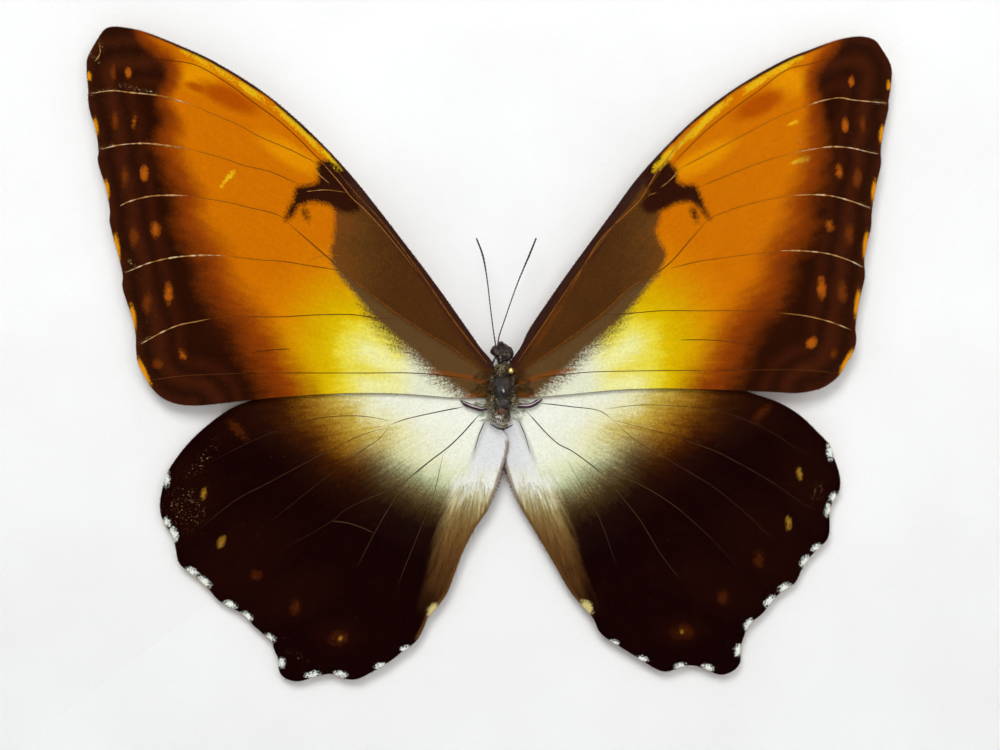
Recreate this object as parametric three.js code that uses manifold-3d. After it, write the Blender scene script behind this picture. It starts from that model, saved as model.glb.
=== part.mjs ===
// A framed butterfly: a large set butterfly pinned to a white board in a black wooden box frame.
// Millimetres. +X right, +Z up, the glass faces -Y. The origin is the middle of the frame's underside.
//
// The specimen has a plane of its own: across (+X), up the body towards the head, and lift off the
// board towards the glass. Wing outlines are given outwards from the body's middle line.
import * as THREE from 'three';
import { mergeVertices } from 'three/addons/utils/BufferGeometryUtils.js';
import Module from 'manifold-3d';

const wasm = await Module();
wasm.setup();

// Frame sizes
const WINDOW_WIDTH = 244;
const WINDOW_HEIGHT = 193;
const RAIL_FACE = 14;
const RAIL_DEPTH = 38;
const RAIL_WALL = 6;
const LIP_THICKNESS = 4;
const RAIL_EDGE = 1;
const LIP_SLOPE_WIDTH = 2.5;
const LIP_SLOPE_DROP = 1.8;
const GAP = 0.3;

// What lies in the rebate, from the glass backwards
const GLASS_THICKNESS = 2;
const SPACER_DEPTH = 20.1;
const SPACER_THICKNESS = 6;
const BOARD_THICKNESS = 5;
const PANEL_THICKNESS = 3;

// Fixings at the back
const TAB_LENGTH = 9;
const TAB_WIDTH = 5;
const TAB_THICKNESS = 0.5;
const TAB_SPREAD = 0.28;
const TAB_GRIP = 2;
const TAB_CLEARANCE = 0.3;
const HANGER_WIDTH = 44;
const HANGER_HEIGHT = 9;
const HANGER_THICKNESS = 0.8;
const HANGER_RISE = 1.1;
const HANGER_FOOT = 8;
const HANGER_RAMP = 2.5;
const HANGER_TEETH = 9;
const TOOTH_DEPTH = 1.8;
const HANGER_DROP = 16;
const RIVET_RADIUS = 1.1;
const RIVET_HEAD_RADIUS = 2.3;
const RIVET_HEAD_HEIGHT = 0.9;
const RIVET_DEPTH = 1.8;

// Specimen sizes
const SPECIMEN_DROP = 8;
const WING_THICKNESS = 0.4;
const WING_CELL = 5;
const WING_EDGE_STEP = 2.4;
const BODY_CLEARANCE = 0.3;
const PIN_RADIUS = 0.25;
const PIN_HOLE_RADIUS = 0.55;
const PIN_DEPTH = 4;
const PIN_HEAD_RADIUS = 0.62;
const PIN_ACROSS = 1.75;
const PIN_UP = 4.85;
const PIN_HEAD_LIFT = 9.6;

// Worked-out sizes
const OUTER_WIDTH = WINDOW_WIDTH + 2 * RAIL_FACE;
const OUTER_HEIGHT = WINDOW_HEIGHT + 2 * RAIL_FACE;
const FRONT_Y = -RAIL_DEPTH / 2;
const BACK_Y = RAIL_DEPTH / 2;
const REBATE_WIDTH = OUTER_WIDTH - 2 * RAIL_WALL;
const REBATE_HEIGHT = OUTER_HEIGHT - 2 * RAIL_WALL;
const FILL_WIDTH = REBATE_WIDTH - 2 * GAP;
const FILL_HEIGHT = REBATE_HEIGHT - 2 * GAP;
const GLASS_Y = FRONT_Y + LIP_THICKNESS + GAP;
const SPACER_Y = GLASS_Y + GLASS_THICKNESS + GAP;
const BOARD_Y = SPACER_Y + SPACER_DEPTH + GAP;
const PANEL_Y = BOARD_Y + BOARD_THICKNESS + GAP;
const PANEL_BACK_Y = PANEL_Y + PANEL_THICKNESS;
const MID_Z = OUTER_HEIGHT / 2;
const SPECIMEN_Z = MID_Z - SPECIMEN_DROP;

const MATERIALS = {
  rail: { color: 0x17130f, roughness: 0.45, metalness: 0 },
  glass: { color: 0xf4f8f8, roughness: 0.03, metalness: 0, transparent: true, opacity: 0.12 },
  spacer: { color: 0xf0f0ee, roughness: 0.9, metalness: 0 },
  board: { color: 0xf3f3f3, roughness: 0.9, metalness: 0 },
  panel: { color: 0x6e4c30, roughness: 0.8, metalness: 0 },
  steel: { color: 0x8d8f92, roughness: 0.4, metalness: 1 },
  brass: { color: 0xb99a58, roughness: 0.35, metalness: 1 },
  forewing: { color: 0xb06a12, roughness: 0.85, metalness: 0 },
  hindwing: { color: 0x2a120c, roughness: 0.85, metalness: 0 },
  body: { color: 0x2b241e, roughness: 0.8, metalness: 0 },
  leg: { color: 0x3a2618, roughness: 0.6, metalness: 0 },
};

// Forewing outlines, [outwards, up] from the middle of the thorax: base of the front edge, out along
// it to the tip, down the scalloped outer edge, and back in along the hind edge.
const FOREWING_LEFT = [
  [1.6, 5.8], [4.4, 9.6], [6.8, 13.0], [11.0, 19.0], [15.4, 25.0], [20.0, 31.0], [24.6, 37.0],
  [29.4, 43.0], [34.8, 49.0], [41.0, 55.0], [48.4, 61.0], [58.2, 67.0], [63.4, 69.4], [68.4, 71.5],
  [72.4, 72.9], [75.4, 73.5], [77.8, 73.7], [79.4, 73.2], [81.4, 70.4], [83.0, 67.2], [83.1, 65.2],
  [82.8, 61.0], [82.8, 59.0], [82.4, 56.6], [81.4, 53.6], [80.7, 48.6], [80.9, 47.2], [80.2, 44.4],
  [79.3, 41.8], [78.4, 36.6], [78.5, 35.0], [77.8, 31.8], [76.6, 27.6], [75.8, 23.8], [75.9, 21.8],
  [75.2, 19.2], [74.0, 15.8], [73.2, 12.0], [73.1, 8.8], [72.7, 6.4], [71.0, 3.0], [69.8, 1.2],
  [67.8, -0.6], [64.8, -1.8], [61.4, -2.1], [56.4, -1.7], [49.4, -0.9], [40.4, -0.1], [30.4, 0.4],
  [20.4, 0.3], [9.4, -0.5], [4.4, -0.6], [2.0, -0.2],
];
const FOREWING_RIGHT = [
  [1.4, 5.8], [3.7, 9.6], [5.4, 13.0], [9.4, 19.0], [13.6, 25.0], [18.0, 31.0], [22.4, 37.0],
  [26.8, 43.0], [32.2, 49.0], [38.4, 55.0], [46.2, 61.0], [56.6, 67.0], [61.6, 69.0], [67.6, 71.1],
  [71.6, 71.7], [73.6, 71.4], [74.8, 70.8], [76.0, 69.2], [77.7, 66.2], [78.0, 64.4], [77.6, 60.6],
  [77.3, 58.6], [77.3, 57.4], [76.4, 53.4], [75.9, 50.6], [75.7, 48.4], [75.8, 46.4], [74.8, 41.8],
  [73.9, 36.4], [73.8, 33.8], [73.0, 30.4], [72.4, 27.0], [72.5, 23.6], [71.4, 19.0], [70.9, 16.0],
  [70.6, 13.0], [70.8, 11.4], [70.4, 9.2], [68.6, 6.0], [67.2, 3.8], [65.6, 2.4], [63.6, 1.3],
  [61.2, 0.7], [58.6, 0.4], [54.6, 0.6], [49.6, 0.8], [39.6, 1.2], [29.6, 1.3], [23.6, 1.1],
  [11.6, 0.0], [4.0, -0.6], [2.0, -0.2],
];

// Hindwing outlines: base of the front edge, hidden under the forewing, round the toothed outer edge
// to the tail lobe, and up the inner edge to the body.
const HINDWING_LEFT = [
  [2.0, -1.6], [10.4, 1.4], [20.4, 3.2], [32.4, 3.4], [42.4, 1.6], [51.4, -1.5], [54.4, -2.8],
  [59.4, -6.4], [63.4, -10.3], [66.8, -15.0], [67.3, -16.2], [68.0, -18.4], [68.6, -22.0],
  [68.3, -24.4], [67.3, -26.4], [66.0, -28.2], [65.4, -31.0], [64.8, -33.6], [62.4, -35.8],
  [60.8, -37.0], [58.6, -39.2], [56.8, -41.2], [54.0, -42.8], [51.8, -44.0], [50.2, -45.8],
  [47.8, -48.0], [46.2, -49.2], [45.7, -51.0], [44.7, -53.4], [44.8, -54.8], [44.2, -56.2],
  [42.8, -57.1], [40.8, -57.4], [37.2, -56.4], [34.4, -55.9], [32.6, -56.4], [30.8, -57.0],
  [29.0, -56.9], [26.8, -55.9], [22.0, -53.0], [20.0, -51.4], [18.2, -50.2], [16.8, -48.8],
  [15.6, -46.4], [14.8, -44.5], [12.6, -42.0], [11.0, -39.6], [9.8, -36.6], [8.2, -32.2],
  [6.8, -29.2], [5.0, -26.0], [3.0, -23.2], [1.2, -18.8], [0.2, -15.6], [-0.9, -12.2],
  [-1.3, -10.0], [-1.0, -8.4], [0.2, -6.6], [1.4, -4.0],
];
const HINDWING_RIGHT = [
  [2.0, -1.6], [10.4, 2.2], [20.4, 4.4], [32.0, 5.0], [42.0, 3.4], [50.0, 0.4], [55.6, -1.6],
  [59.6, -4.0], [63.2, -7.4], [65.6, -10.0], [66.4, -12.2], [67.4, -15.0], [67.8, -17.0],
  [67.6, -19.2], [66.2, -21.6], [65.7, -24.0], [65.6, -27.8], [65.0, -29.2], [63.0, -31.2],
  [61.2, -33.2], [60.0, -35.2], [58.8, -37.6], [56.4, -39.2], [54.2, -41.2], [52.2, -43.8],
  [49.6, -46.0], [48.5, -48.4], [47.8, -51.0], [47.8, -53.4], [47.0, -54.8], [45.6, -55.7],
  [44.0, -56.1], [42.4, -55.7], [40.0, -54.6], [38.0, -54.2], [36.2, -54.4], [33.2, -55.4],
  [31.6, -55.2], [26.2, -52.0], [22.4, -49.6], [20.8, -48.6], [19.4, -47.2], [18.2, -44.6],
  [15.2, -41.2], [13.6, -39.2], [10.0, -33.0], [8.0, -29.6], [5.6, -25.6], [3.8, -22.6],
  [2.6, -20.0], [1.6, -17.4], [0.6, -14.2], [0.0, -11.0], [0.0, -8.8], [0.6, -6.6], [1.4, -4.0],
];

// The lift of each wing's middle surface off the board. Wings arch a little and droop to their edges,
// and the hindwings fold down towards the body along their inner edge, the left one over the right.
const FOREWING_SPAN = 84;
const FOREWING_ROOT_LIFT = 6.4;
const FOREWING_ARCH = 0.6;
const FOREWING_DROOP = 1.8;
const HINDWING_SPAN = 70;
const HINDWING_ROOT_LIFT = 5.2;
const HINDWING_ARCH = 0.4;
const HINDWING_DROOP = 2.0;
const FOLD_DEPTH = { left: 0.7, right: 1.6 };
const FOLD_WIDTH = 3.6;
const FOLD_START = -14;
const FOLD_SLOPE = 0.45;

// Thorax rings from the neck to the hind end: [up, across, half width, half depth, lift]
const THORAX_RINGS = [
  [6.6, 0.1, 1.0, 0.9, 7.2], [6.0, 0.1, 1.6, 1.5, 7.1], [4.6, 0.1, 2.1, 2.2, 6.9],
  [3.0, 0.0, 2.7, 2.8, 6.7], [1.0, 0.0, 3.1, 3.2, 6.6], [-1.0, 0.0, 3.2, 3.3, 6.5],
  [-3.0, 0.0, 3.0, 3.1, 6.5], [-4.8, 0.1, 2.3, 2.5, 6.4], [-6.0, 0.1, 1.5, 1.8, 6.2],
  [-6.8, 0.1, 0.6, 0.9, 6.1],
];
const THORAX_SIDES = 20;

const HEAD = { across: 0, up: 8.5, lift: 7.2, radii: [1.5, 1.55, 1.7] };
const EYE_RADIUS = 1.15;
const EYES = [[-1.05, 8.8, 7.5], [1.0, 8.6, 7.5]];
const PALP = [[0.35, 9.4, 6.4], [0.5, 10.3, 6.3], [0.45, 10.9, 6.6]];
const PALP_RADII = [0.45, 0.4, 0.2];

const ANTENNA_LEFT = [
  [-1.2, 9.6, 7.8], [-1.6, 12.0, 8.0], [-2.2, 16.5, 8.3], [-3.1, 24.0, 8.6], [-3.9, 28.0, 8.7],
  [-5.1, 31.2, 8.7],
];
const ANTENNA_RIGHT = [
  [-0.9, 9.6, 7.8], [-0.6, 11.6, 8.0], [0.4, 14.6, 8.3], [3.0, 22.0, 8.6], [5.5, 28.0, 8.7],
  [6.8, 31.2, 8.7],
];
const ANTENNA_RADIUS = 0.17;
const ANTENNA_CLUB_RADIUS = 0.26;
const ANTENNA_SIDES = 6;
const ANTENNA_STEPS = 20;

// Legs on the right side, from the hip by the knee and the ankle to the tip: [outwards, up, lift]
const LEGS = {
  fore: [[0.8, 3.6, 4.0], [2.2, 5.2, 2.9], [1.4, 7.4, 2.5], [0.8, 9.0, 2.6]],
  mid: [[1.1, 0.6, 3.4], [6.2, 3.2, 2.4], [4.0, -4.8, 1.8], [5.2, -8.6, 1.0]],
  hind: [[1.1, -2.4, 3.4], [5.6, -6.4, 2.3], [7.4, -11.2, 1.6], [9.4, -14.6, 0.9]],
};
const LEG_RADII = [0.45, 0.36, 0.26, 0.16];
const LEG_SIDES = 6;
const LEG_STEPS = 4;

function material(name) {
  return new THREE.MeshStandardMaterial(MATERIALS[name]);
}

function node(name, geometry, look) {
  geometry.computeVertexNormals();
  const mesh = new THREE.Mesh(geometry, material(look));
  mesh.name = name;
  return mesh;
}

// Booleans on closed meshes

function solid(geometry) {
  const bare = geometry.clone();
  bare.deleteAttribute('normal');
  bare.deleteAttribute('uv');
  const merged = mergeVertices(bare, 1e-4);
  return new wasm.Manifold(new wasm.Mesh({
    numProp: 3,
    vertProperties: new Float32Array(merged.attributes.position.array),
    triVerts: new Uint32Array(merged.index.array),
  }));
}

function geometryOf(manifold) {
  const mesh = manifold.getMesh();
  const geometry = new THREE.BufferGeometry();
  geometry.setAttribute('position', new THREE.BufferAttribute(mesh.vertProperties, 3));
  geometry.setIndex(new THREE.BufferAttribute(mesh.triVerts, 1));
  return geometry;
}

function cutAll(geometry, cutters) {
  return geometryOf(cutters.reduce((rest, cutter) => rest.subtract(solid(cutter)), solid(geometry)));
}

// Basic forms

function box(width, depth, height, x, y, z) {
  return new THREE.BoxGeometry(width, depth, height).translate(x, y, z);
}

// A closed outline in X and Z, given a thickness along Y from y onwards.
function plateXZ(points, y, thickness) {
  const shape = new THREE.Shape(points.map(([x, z]) => new THREE.Vector2(x, z)));
  const geometry = new THREE.ExtrudeGeometry(shape, { depth: thickness, bevelEnabled: false });
  return geometry.rotateX(Math.PI / 2).translate(0, y + thickness, 0);
}

// A closed outline in X and Y, given a height along Z from z onwards.
function plateXY(points, z, height) {
  const shape = new THREE.Shape(points.map(([x, y]) => new THREE.Vector2(x, y)));
  const geometry = new THREE.ExtrudeGeometry(shape, { depth: height, bevelEnabled: false });
  return geometry.translate(0, 0, z);
}

// A cylinder whose axis runs along Y.
function rod(radius, x, y, z, length, sides = 16) {
  const geometry = new THREE.CylinderGeometry(radius, radius, length, sides);
  return geometry.translate(x, y + length / 2, z);
}

// A closed skin over rings with the same number of points each.
function loft(rings) {
  const sides = rings[0].length;
  const positions = rings.flat().flatMap((point) => [point.x, point.y, point.z]);
  const index = [];
  for (let ring = 0; ring + 1 < rings.length; ring += 1) {
    for (let side = 0; side < sides; side += 1) {
      const next = (side + 1) % sides;
      const a = ring * sides + side;
      const b = ring * sides + next;
      index.push(a, b, a + sides, b, b + sides, a + sides);
    }
  }
  const last = (rings.length - 1) * sides;
  for (let side = 1; side + 1 < sides; side += 1) {
    index.push(0, side + 1, side, last, last + side, last + side + 1);
  }
  const geometry = new THREE.BufferGeometry();
  geometry.setAttribute('position', new THREE.Float32BufferAttribute(positions, 3));
  geometry.setIndex(index);
  return geometry;
}

// A tube along a smooth path, with a radius for each given point.
function taperedTube(points, radii, sides, steps) {
  const curve = new THREE.CatmullRomCurve3(points.map((p) => new THREE.Vector3(...p)), false, 'centripetal');
  const frames = curve.computeFrenetFrames(steps, false);
  const rings = [];
  for (let step = 0; step <= steps; step += 1) {
    const t = step / steps;
    const centre = curve.getPointAt(t);
    const place = curve.getUtoTmapping(t) * (radii.length - 1);
    const low = Math.min(Math.floor(place), radii.length - 2);
    const radius = THREE.MathUtils.lerp(radii[low], radii[low + 1], place - low);
    const ring = [];
    for (let side = 0; side < sides; side += 1) {
      const angle = (2 * Math.PI * side) / sides;
      ring.push(centre.clone()
        .addScaledVector(frames.normals[step], radius * Math.cos(angle))
        .addScaledVector(frames.binormals[step], radius * Math.sin(angle)));
    }
    rings.push(ring);
  }
  return loft(rings);
}

// The specimen, in its own plane: x across, y up the body, z lift off the board

function forewingLift(out, up) {
  const share = Math.min(1, Math.hypot(out, up * 0.5) / FOREWING_SPAN);
  return FOREWING_ROOT_LIFT + FOREWING_ARCH * Math.sin(Math.PI * share)
    - FOREWING_DROOP * share * share;
}

function hindwingLift(out, up, foldDepth) {
  const share = Math.min(1, Math.hypot(out, up) / HINDWING_SPAN);
  const foldLine = Math.max(0, (FOLD_START - up) * FOLD_SLOPE);
  const fromFold = Math.max(0, out - foldLine) / FOLD_WIDTH;
  const fold = foldDepth * Math.exp(-fromFold * fromFold) * THREE.MathUtils.smoothstep(-up, 4, 10);
  return HINDWING_ROOT_LIFT + HINDWING_ARCH * Math.sin(Math.PI * share)
    - HINDWING_DROOP * share * share - fold;
}

// A sheet of square cells over the outline's box, lifted to the wing's surface, with a thickness.
function liftedSheet(points, side, liftAt) {
  const outs = points.map((p) => p[0]);
  const ups = points.map((p) => p[1]);
  const x0 = Math.min(...outs) - WING_CELL;
  const y0 = Math.min(...ups) - WING_CELL;
  const columns = Math.ceil((Math.max(...outs) + WING_CELL - x0) / WING_CELL);
  const rows = Math.ceil((Math.max(...ups) + WING_CELL - y0) / WING_CELL);
  const geometry = new THREE.BoxGeometry(1, 1, 1, columns, rows, 1);
  const position = geometry.attributes.position;
  for (let i = 0; i < position.count; i += 1) {
    const out = x0 + (position.getX(i) + 0.5) * columns * WING_CELL;
    const up = y0 + (position.getY(i) + 0.5) * rows * WING_CELL;
    const lift = liftAt(out, up) + position.getZ(i) * WING_THICKNESS;
    position.setXYZ(i, out, up, lift);
  }
  return side < 0 ? mirrored(geometry) : geometry;
}

function mirrored(geometry) {
  const copy = mergeVertices(bareCopy(geometry), 1e-4);
  copy.scale(-1, 1, 1);
  const index = copy.index.array;
  for (let i = 0; i < index.length; i += 3) {
    [index[i + 1], index[i + 2]] = [index[i + 2], index[i + 1]];
  }
  return copy;
}

function bareCopy(geometry) {
  const copy = geometry.clone();
  copy.deleteAttribute('normal');
  copy.deleteAttribute('uv');
  return copy;
}

// A wing: its outline cut out of the lifted sheet, and clear of the thorax.
function wing(points, side, liftAt, bodyRoom) {
  const curve = new THREE.CatmullRomCurve3(
    points.map(([out, up]) => new THREE.Vector3(side * out, up, 0)), true, 'centripetal');
  const count = Math.round(curve.getLength() / WING_EDGE_STEP);
  const outline = curve.getSpacedPoints(count).slice(0, count);
  const shape = new THREE.Shape(outline.map((p) => new THREE.Vector2(p.x, p.y)));
  const prism = new THREE.ExtrudeGeometry(shape, { depth: 20, bevelEnabled: false });
  const sheet = solid(liftedSheet(points, side, liftAt));
  return geometryOf(sheet.intersect(solid(prism)).subtract(bodyRoom));
}

function thoraxForm(room) {
  const rings = THORAX_RINGS.map(([up, across, halfWidth, halfDepth, lift], i) => {
    const shift = i === 0 ? room : 0;
    const drop = i === THORAX_RINGS.length - 1 ? room : 0;
    const ring = [];
    for (let side = 0; side < THORAX_SIDES; side += 1) {
      const angle = (2 * Math.PI * side) / THORAX_SIDES;
      ring.push(new THREE.Vector3(
        across + (halfWidth + room) * Math.cos(angle),
        up + shift - drop,
        lift + (halfDepth + room) * Math.sin(angle)));
    }
    return ring;
  });
  return loft(rings);
}

function headForm(room) {
  const skull = new THREE.SphereGeometry(1, 14, 10).scale(...HEAD.radii.map((r) => r + room));
  skull.translate(HEAD.across, HEAD.up, HEAD.lift);
  const parts = [skull];
  for (const [x, y, z] of EYES) {
    parts.push(new THREE.SphereGeometry(EYE_RADIUS + room, 14, 10).translate(x, y, z));
  }
  for (const side of [-1, 1]) {
    const palp = PALP.map(([x, y, z]) => [side * x, y, z]);
    parts.push(taperedTube(palp, PALP_RADII.map((r) => r + room), 6, 4));
  }
  return parts.map(solid).reduce((whole, part) => whole.add(part));
}

function pinForm() {
  const tip = -PIN_DEPTH;
  const profile = [
    [0, tip], [PIN_RADIUS, tip + 1], [PIN_RADIUS, PIN_HEAD_LIFT - PIN_HEAD_RADIUS * 0.9],
    [PIN_HEAD_RADIUS * 0.8, PIN_HEAD_LIFT - PIN_HEAD_RADIUS * 0.6],
    [PIN_HEAD_RADIUS, PIN_HEAD_LIFT], [PIN_HEAD_RADIUS * 0.7, PIN_HEAD_LIFT + PIN_HEAD_RADIUS * 0.7],
    [0, PIN_HEAD_LIFT + PIN_HEAD_RADIUS],
  ].map(([r, z]) => new THREE.Vector2(r, z));
  const geometry = new THREE.LatheGeometry(profile, 10).rotateX(Math.PI / 2);
  return geometry.translate(PIN_ACROSS, PIN_UP, 0);
}

function pinHole() {
  const length = 40;
  const hole = new THREE.CylinderGeometry(PIN_HOLE_RADIUS, PIN_HOLE_RADIUS, length, 16);
  return hole.rotateX(Math.PI / 2).translate(PIN_ACROSS, PIN_UP, 0);
}

function specimen() {
  const group = new THREE.Group();
  const hole = solid(pinHole());
  const thoraxRoom = solid(thoraxForm(BODY_CLEARANCE)).add(hole);
  const thorax = solid(thoraxForm(0)).subtract(hole);
  const headRoom = headForm(BODY_CLEARANCE);

  group.add(node('thorax', geometryOf(thorax), 'body'));
  group.add(node('head', geometryOf(headForm(0).subtract(thoraxRoom)), 'body'));
  group.add(node('pin', pinForm(), 'brass'));

  const wings = [
    ['forewing_left', FOREWING_LEFT, -1, forewingLift, 'forewing'],
    ['forewing_right', FOREWING_RIGHT, 1, forewingLift, 'forewing'],
    ['hindwing_left', HINDWING_LEFT, -1, (o, u) => hindwingLift(o, u, FOLD_DEPTH.left), 'hindwing'],
    ['hindwing_right', HINDWING_RIGHT, 1, (o, u) => hindwingLift(o, u, FOLD_DEPTH.right), 'hindwing'],
  ];
  for (const [name, points, side, liftAt, look] of wings) {
    group.add(node(name, wing(points, side, liftAt, thoraxRoom), look));
  }

  const antennae = { antenna_left: ANTENNA_LEFT, antenna_right: ANTENNA_RIGHT };
  for (const [name, points] of Object.entries(antennae)) {
    const radii = points.map((_, i) => (i > points.length - 3 ? ANTENNA_CLUB_RADIUS : ANTENNA_RADIUS));
    const tube = solid(taperedTube(points, radii, ANTENNA_SIDES, ANTENNA_STEPS));
    group.add(node(name, geometryOf(tube.subtract(headRoom)), 'leg'));
  }

  for (const [pair, points] of Object.entries(LEGS)) {
    for (const [word, side] of [['left', -1], ['right', 1]]) {
      const path = points.map(([out, up, lift]) => [side * out, up, lift]);
      const tube = solid(taperedTube(path, LEG_RADII, LEG_SIDES, LEG_STEPS * (path.length - 1)));
      group.add(node(`leg_${pair}_${word}`, geometryOf(tube.subtract(thoraxRoom)), 'leg'));
    }
  }

  group.rotation.x = Math.PI / 2;
  group.position.set(0, BOARD_Y, SPECIMEN_Z);
  return group;
}

// The frame

// A rail lies along X with its outer edge at z 0, its ends mitred, and slots for its tabs.
function railForm(length) {
  const section = [
    [FRONT_Y + RAIL_EDGE, 0], [BACK_Y, 0], [BACK_Y, RAIL_WALL], [FRONT_Y + LIP_THICKNESS, RAIL_WALL],
    [FRONT_Y + LIP_THICKNESS, RAIL_FACE], [FRONT_Y + LIP_SLOPE_DROP, RAIL_FACE],
    [FRONT_Y, RAIL_FACE - LIP_SLOPE_WIDTH], [FRONT_Y, RAIL_EDGE],
  ];
  const shape = new THREE.Shape(section.map(([y, z]) => new THREE.Vector2(y, z)));
  const bar = new THREE.ExtrudeGeometry(shape, { depth: length, bevelEnabled: false });
  bar.rotateY(Math.PI / 2).rotateX(Math.PI / 2).translate(-length / 2, 0, 0);

  const reach = RAIL_FACE + 5;
  const inset = GAP / 2;
  const mitre = [[length / 2 - inset + 5, -5], [length / 2 - inset - reach, reach], [length, reach], [length, -5]];
  const cutters = [plateXZ(mitre, FRONT_Y - 1, RAIL_DEPTH + 2)];
  cutters.push(plateXZ(mitre.map(([x, z]) => [-x, z]), FRONT_Y - 1, RAIL_DEPTH + 2));
  for (const x of tabPlaces(length)) {
    cutters.push(box(
      TAB_WIDTH + 2 * TAB_CLEARANCE, TAB_THICKNESS + 2 * TAB_CLEARANCE, 2 * (TAB_GRIP + TAB_CLEARANCE),
      x, tabY(), RAIL_WALL));
  }
  return cutAll(bar, cutters);
}

function tabY() {
  return PANEL_BACK_Y + TAB_CLEARANCE + TAB_THICKNESS / 2;
}

function tabPlaces(length) {
  return [-TAB_SPREAD * length, TAB_SPREAD * length];
}

function tabForm(x) {
  const middle = RAIL_WALL - TAB_GRIP + TAB_LENGTH / 2;
  return box(TAB_WIDTH, TAB_THICKNESS, TAB_LENGTH, x, tabY(), middle);
}

// The four sides, as how long they are and how each is turned and placed.
const SIDES = {
  bottom: { length: OUTER_WIDTH, turn: 0, x: 0, z: 0 },
  right: { length: OUTER_HEIGHT, turn: -Math.PI / 2, x: OUTER_WIDTH / 2, z: MID_Z },
  top: { length: OUTER_WIDTH, turn: Math.PI, x: 0, z: OUTER_HEIGHT },
  left: { length: OUTER_HEIGHT, turn: Math.PI / 2, x: -OUTER_WIDTH / 2, z: MID_Z },
};

function frameSides() {
  const group = new THREE.Group();
  for (const [word, side] of Object.entries(SIDES)) {
    const place = new THREE.Group();
    place.add(node(`rail_${word}`, railForm(side.length), 'rail'));
    tabPlaces(side.length).forEach((x, i) => {
      place.add(node(`tab_${word}_${i + 1}`, tabForm(x), 'steel'));
    });
    place.rotation.y = side.turn;
    place.position.set(side.x, 0, side.z);
    group.add(place);
  }
  return group;
}

function spacers() {
  const group = new THREE.Group();
  const y = SPACER_Y + SPACER_DEPTH / 2;
  const half = SPACER_THICKNESS / 2;
  const endZ = FILL_HEIGHT / 2 - half;
  const sideX = FILL_WIDTH / 2 - half;
  const sideHeight = FILL_HEIGHT - 2 * SPACER_THICKNESS - 2 * GAP;
  for (const [word, sign] of [['top', 1], ['bottom', -1]]) {
    const strip = box(FILL_WIDTH, SPACER_DEPTH, SPACER_THICKNESS, 0, y, MID_Z + sign * endZ);
    group.add(node(`spacer_${word}`, strip, 'spacer'));
  }
  for (const [word, sign] of [['right', 1], ['left', -1]]) {
    const strip = box(SPACER_THICKNESS, SPACER_DEPTH, sideHeight, sign * sideX, y, MID_Z);
    group.add(node(`spacer_${word}`, strip, 'spacer'));
  }
  return group;
}

function pane(y, thickness) {
  return box(FILL_WIDTH, thickness, FILL_HEIGHT, 0, y + thickness / 2, MID_Z);
}

function boardForm() {
  const hole = rod(PIN_HOLE_RADIUS, PIN_ACROSS, BOARD_Y - 1, SPECIMEN_Z + PIN_UP, PIN_DEPTH + 1 + GAP);
  return cutAll(pane(BOARD_Y, BOARD_THICKNESS), [hole]);
}

const HANGER_Z = OUTER_HEIGHT - RAIL_WALL - HANGER_DROP;
const RIVET_X = HANGER_WIDTH / 2 - HANGER_FOOT / 2;

// A strip of steel bent out from the panel between two feet, with teeth along its lower edge.
function hangerForm() {
  const low = PANEL_BACK_Y + GAP;
  const high = low + HANGER_RISE;
  const half = HANGER_WIDTH / 2;
  const footEnd = half - HANGER_FOOT;
  const rampEnd = footEnd - HANGER_RAMP;
  const under = [[-half, low], [-footEnd, low], [-rampEnd, high], [rampEnd, high], [footEnd, low], [half, low]];
  const over = under.map(([x, y]) => [x, y + HANGER_THICKNESS]).reverse();
  const strip = plateXY([...under, ...over], HANGER_Z - HANGER_HEIGHT / 2, HANGER_HEIGHT);
  const bottom = HANGER_Z - HANGER_HEIGHT / 2;
  const pitch = (2 * rampEnd) / HANGER_TEETH;
  const zigzag = [[-rampEnd, bottom - 1]];
  for (let tooth = 0; tooth < HANGER_TEETH; tooth += 1) {
    const start = -rampEnd + tooth * pitch;
    zigzag.push([start, bottom - 0.1], [start + pitch / 2, bottom + TOOTH_DEPTH]);
  }
  zigzag.push([rampEnd, bottom - 0.1], [rampEnd, bottom - 1]);
  const holes = [-1, 1].map((sign) => rod(RIVET_RADIUS + GAP, sign * RIVET_X, low - 1, HANGER_Z, 4));
  return cutAll(strip, [plateXZ(zigzag, low - 1, 5), ...holes]);
}

function rivetForm(x) {
  const headBase = PANEL_BACK_Y + 2 * GAP + HANGER_THICKNESS;
  const profile = [
    [0, PANEL_BACK_Y - RIVET_DEPTH], [RIVET_RADIUS, PANEL_BACK_Y - RIVET_DEPTH], [RIVET_RADIUS, headBase],
    [RIVET_HEAD_RADIUS, headBase], [RIVET_HEAD_RADIUS * 0.85, headBase + RIVET_HEAD_HEIGHT * 0.6],
    [RIVET_HEAD_RADIUS * 0.45, headBase + RIVET_HEAD_HEIGHT * 0.95], [0, headBase + RIVET_HEAD_HEIGHT],
  ].map(([r, y]) => new THREE.Vector2(r, y));
  return new THREE.LatheGeometry(profile, 12).translate(x, 0, HANGER_Z);
}

function panelForm() {
  const depth = RIVET_DEPTH + GAP;
  const holes = [-1, 1].map((sign) => rod(
    RIVET_RADIUS + GAP, sign * RIVET_X, PANEL_BACK_Y - depth, HANGER_Z, depth + 1));
  return cutAll(pane(PANEL_Y, PANEL_THICKNESS), holes);
}

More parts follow.
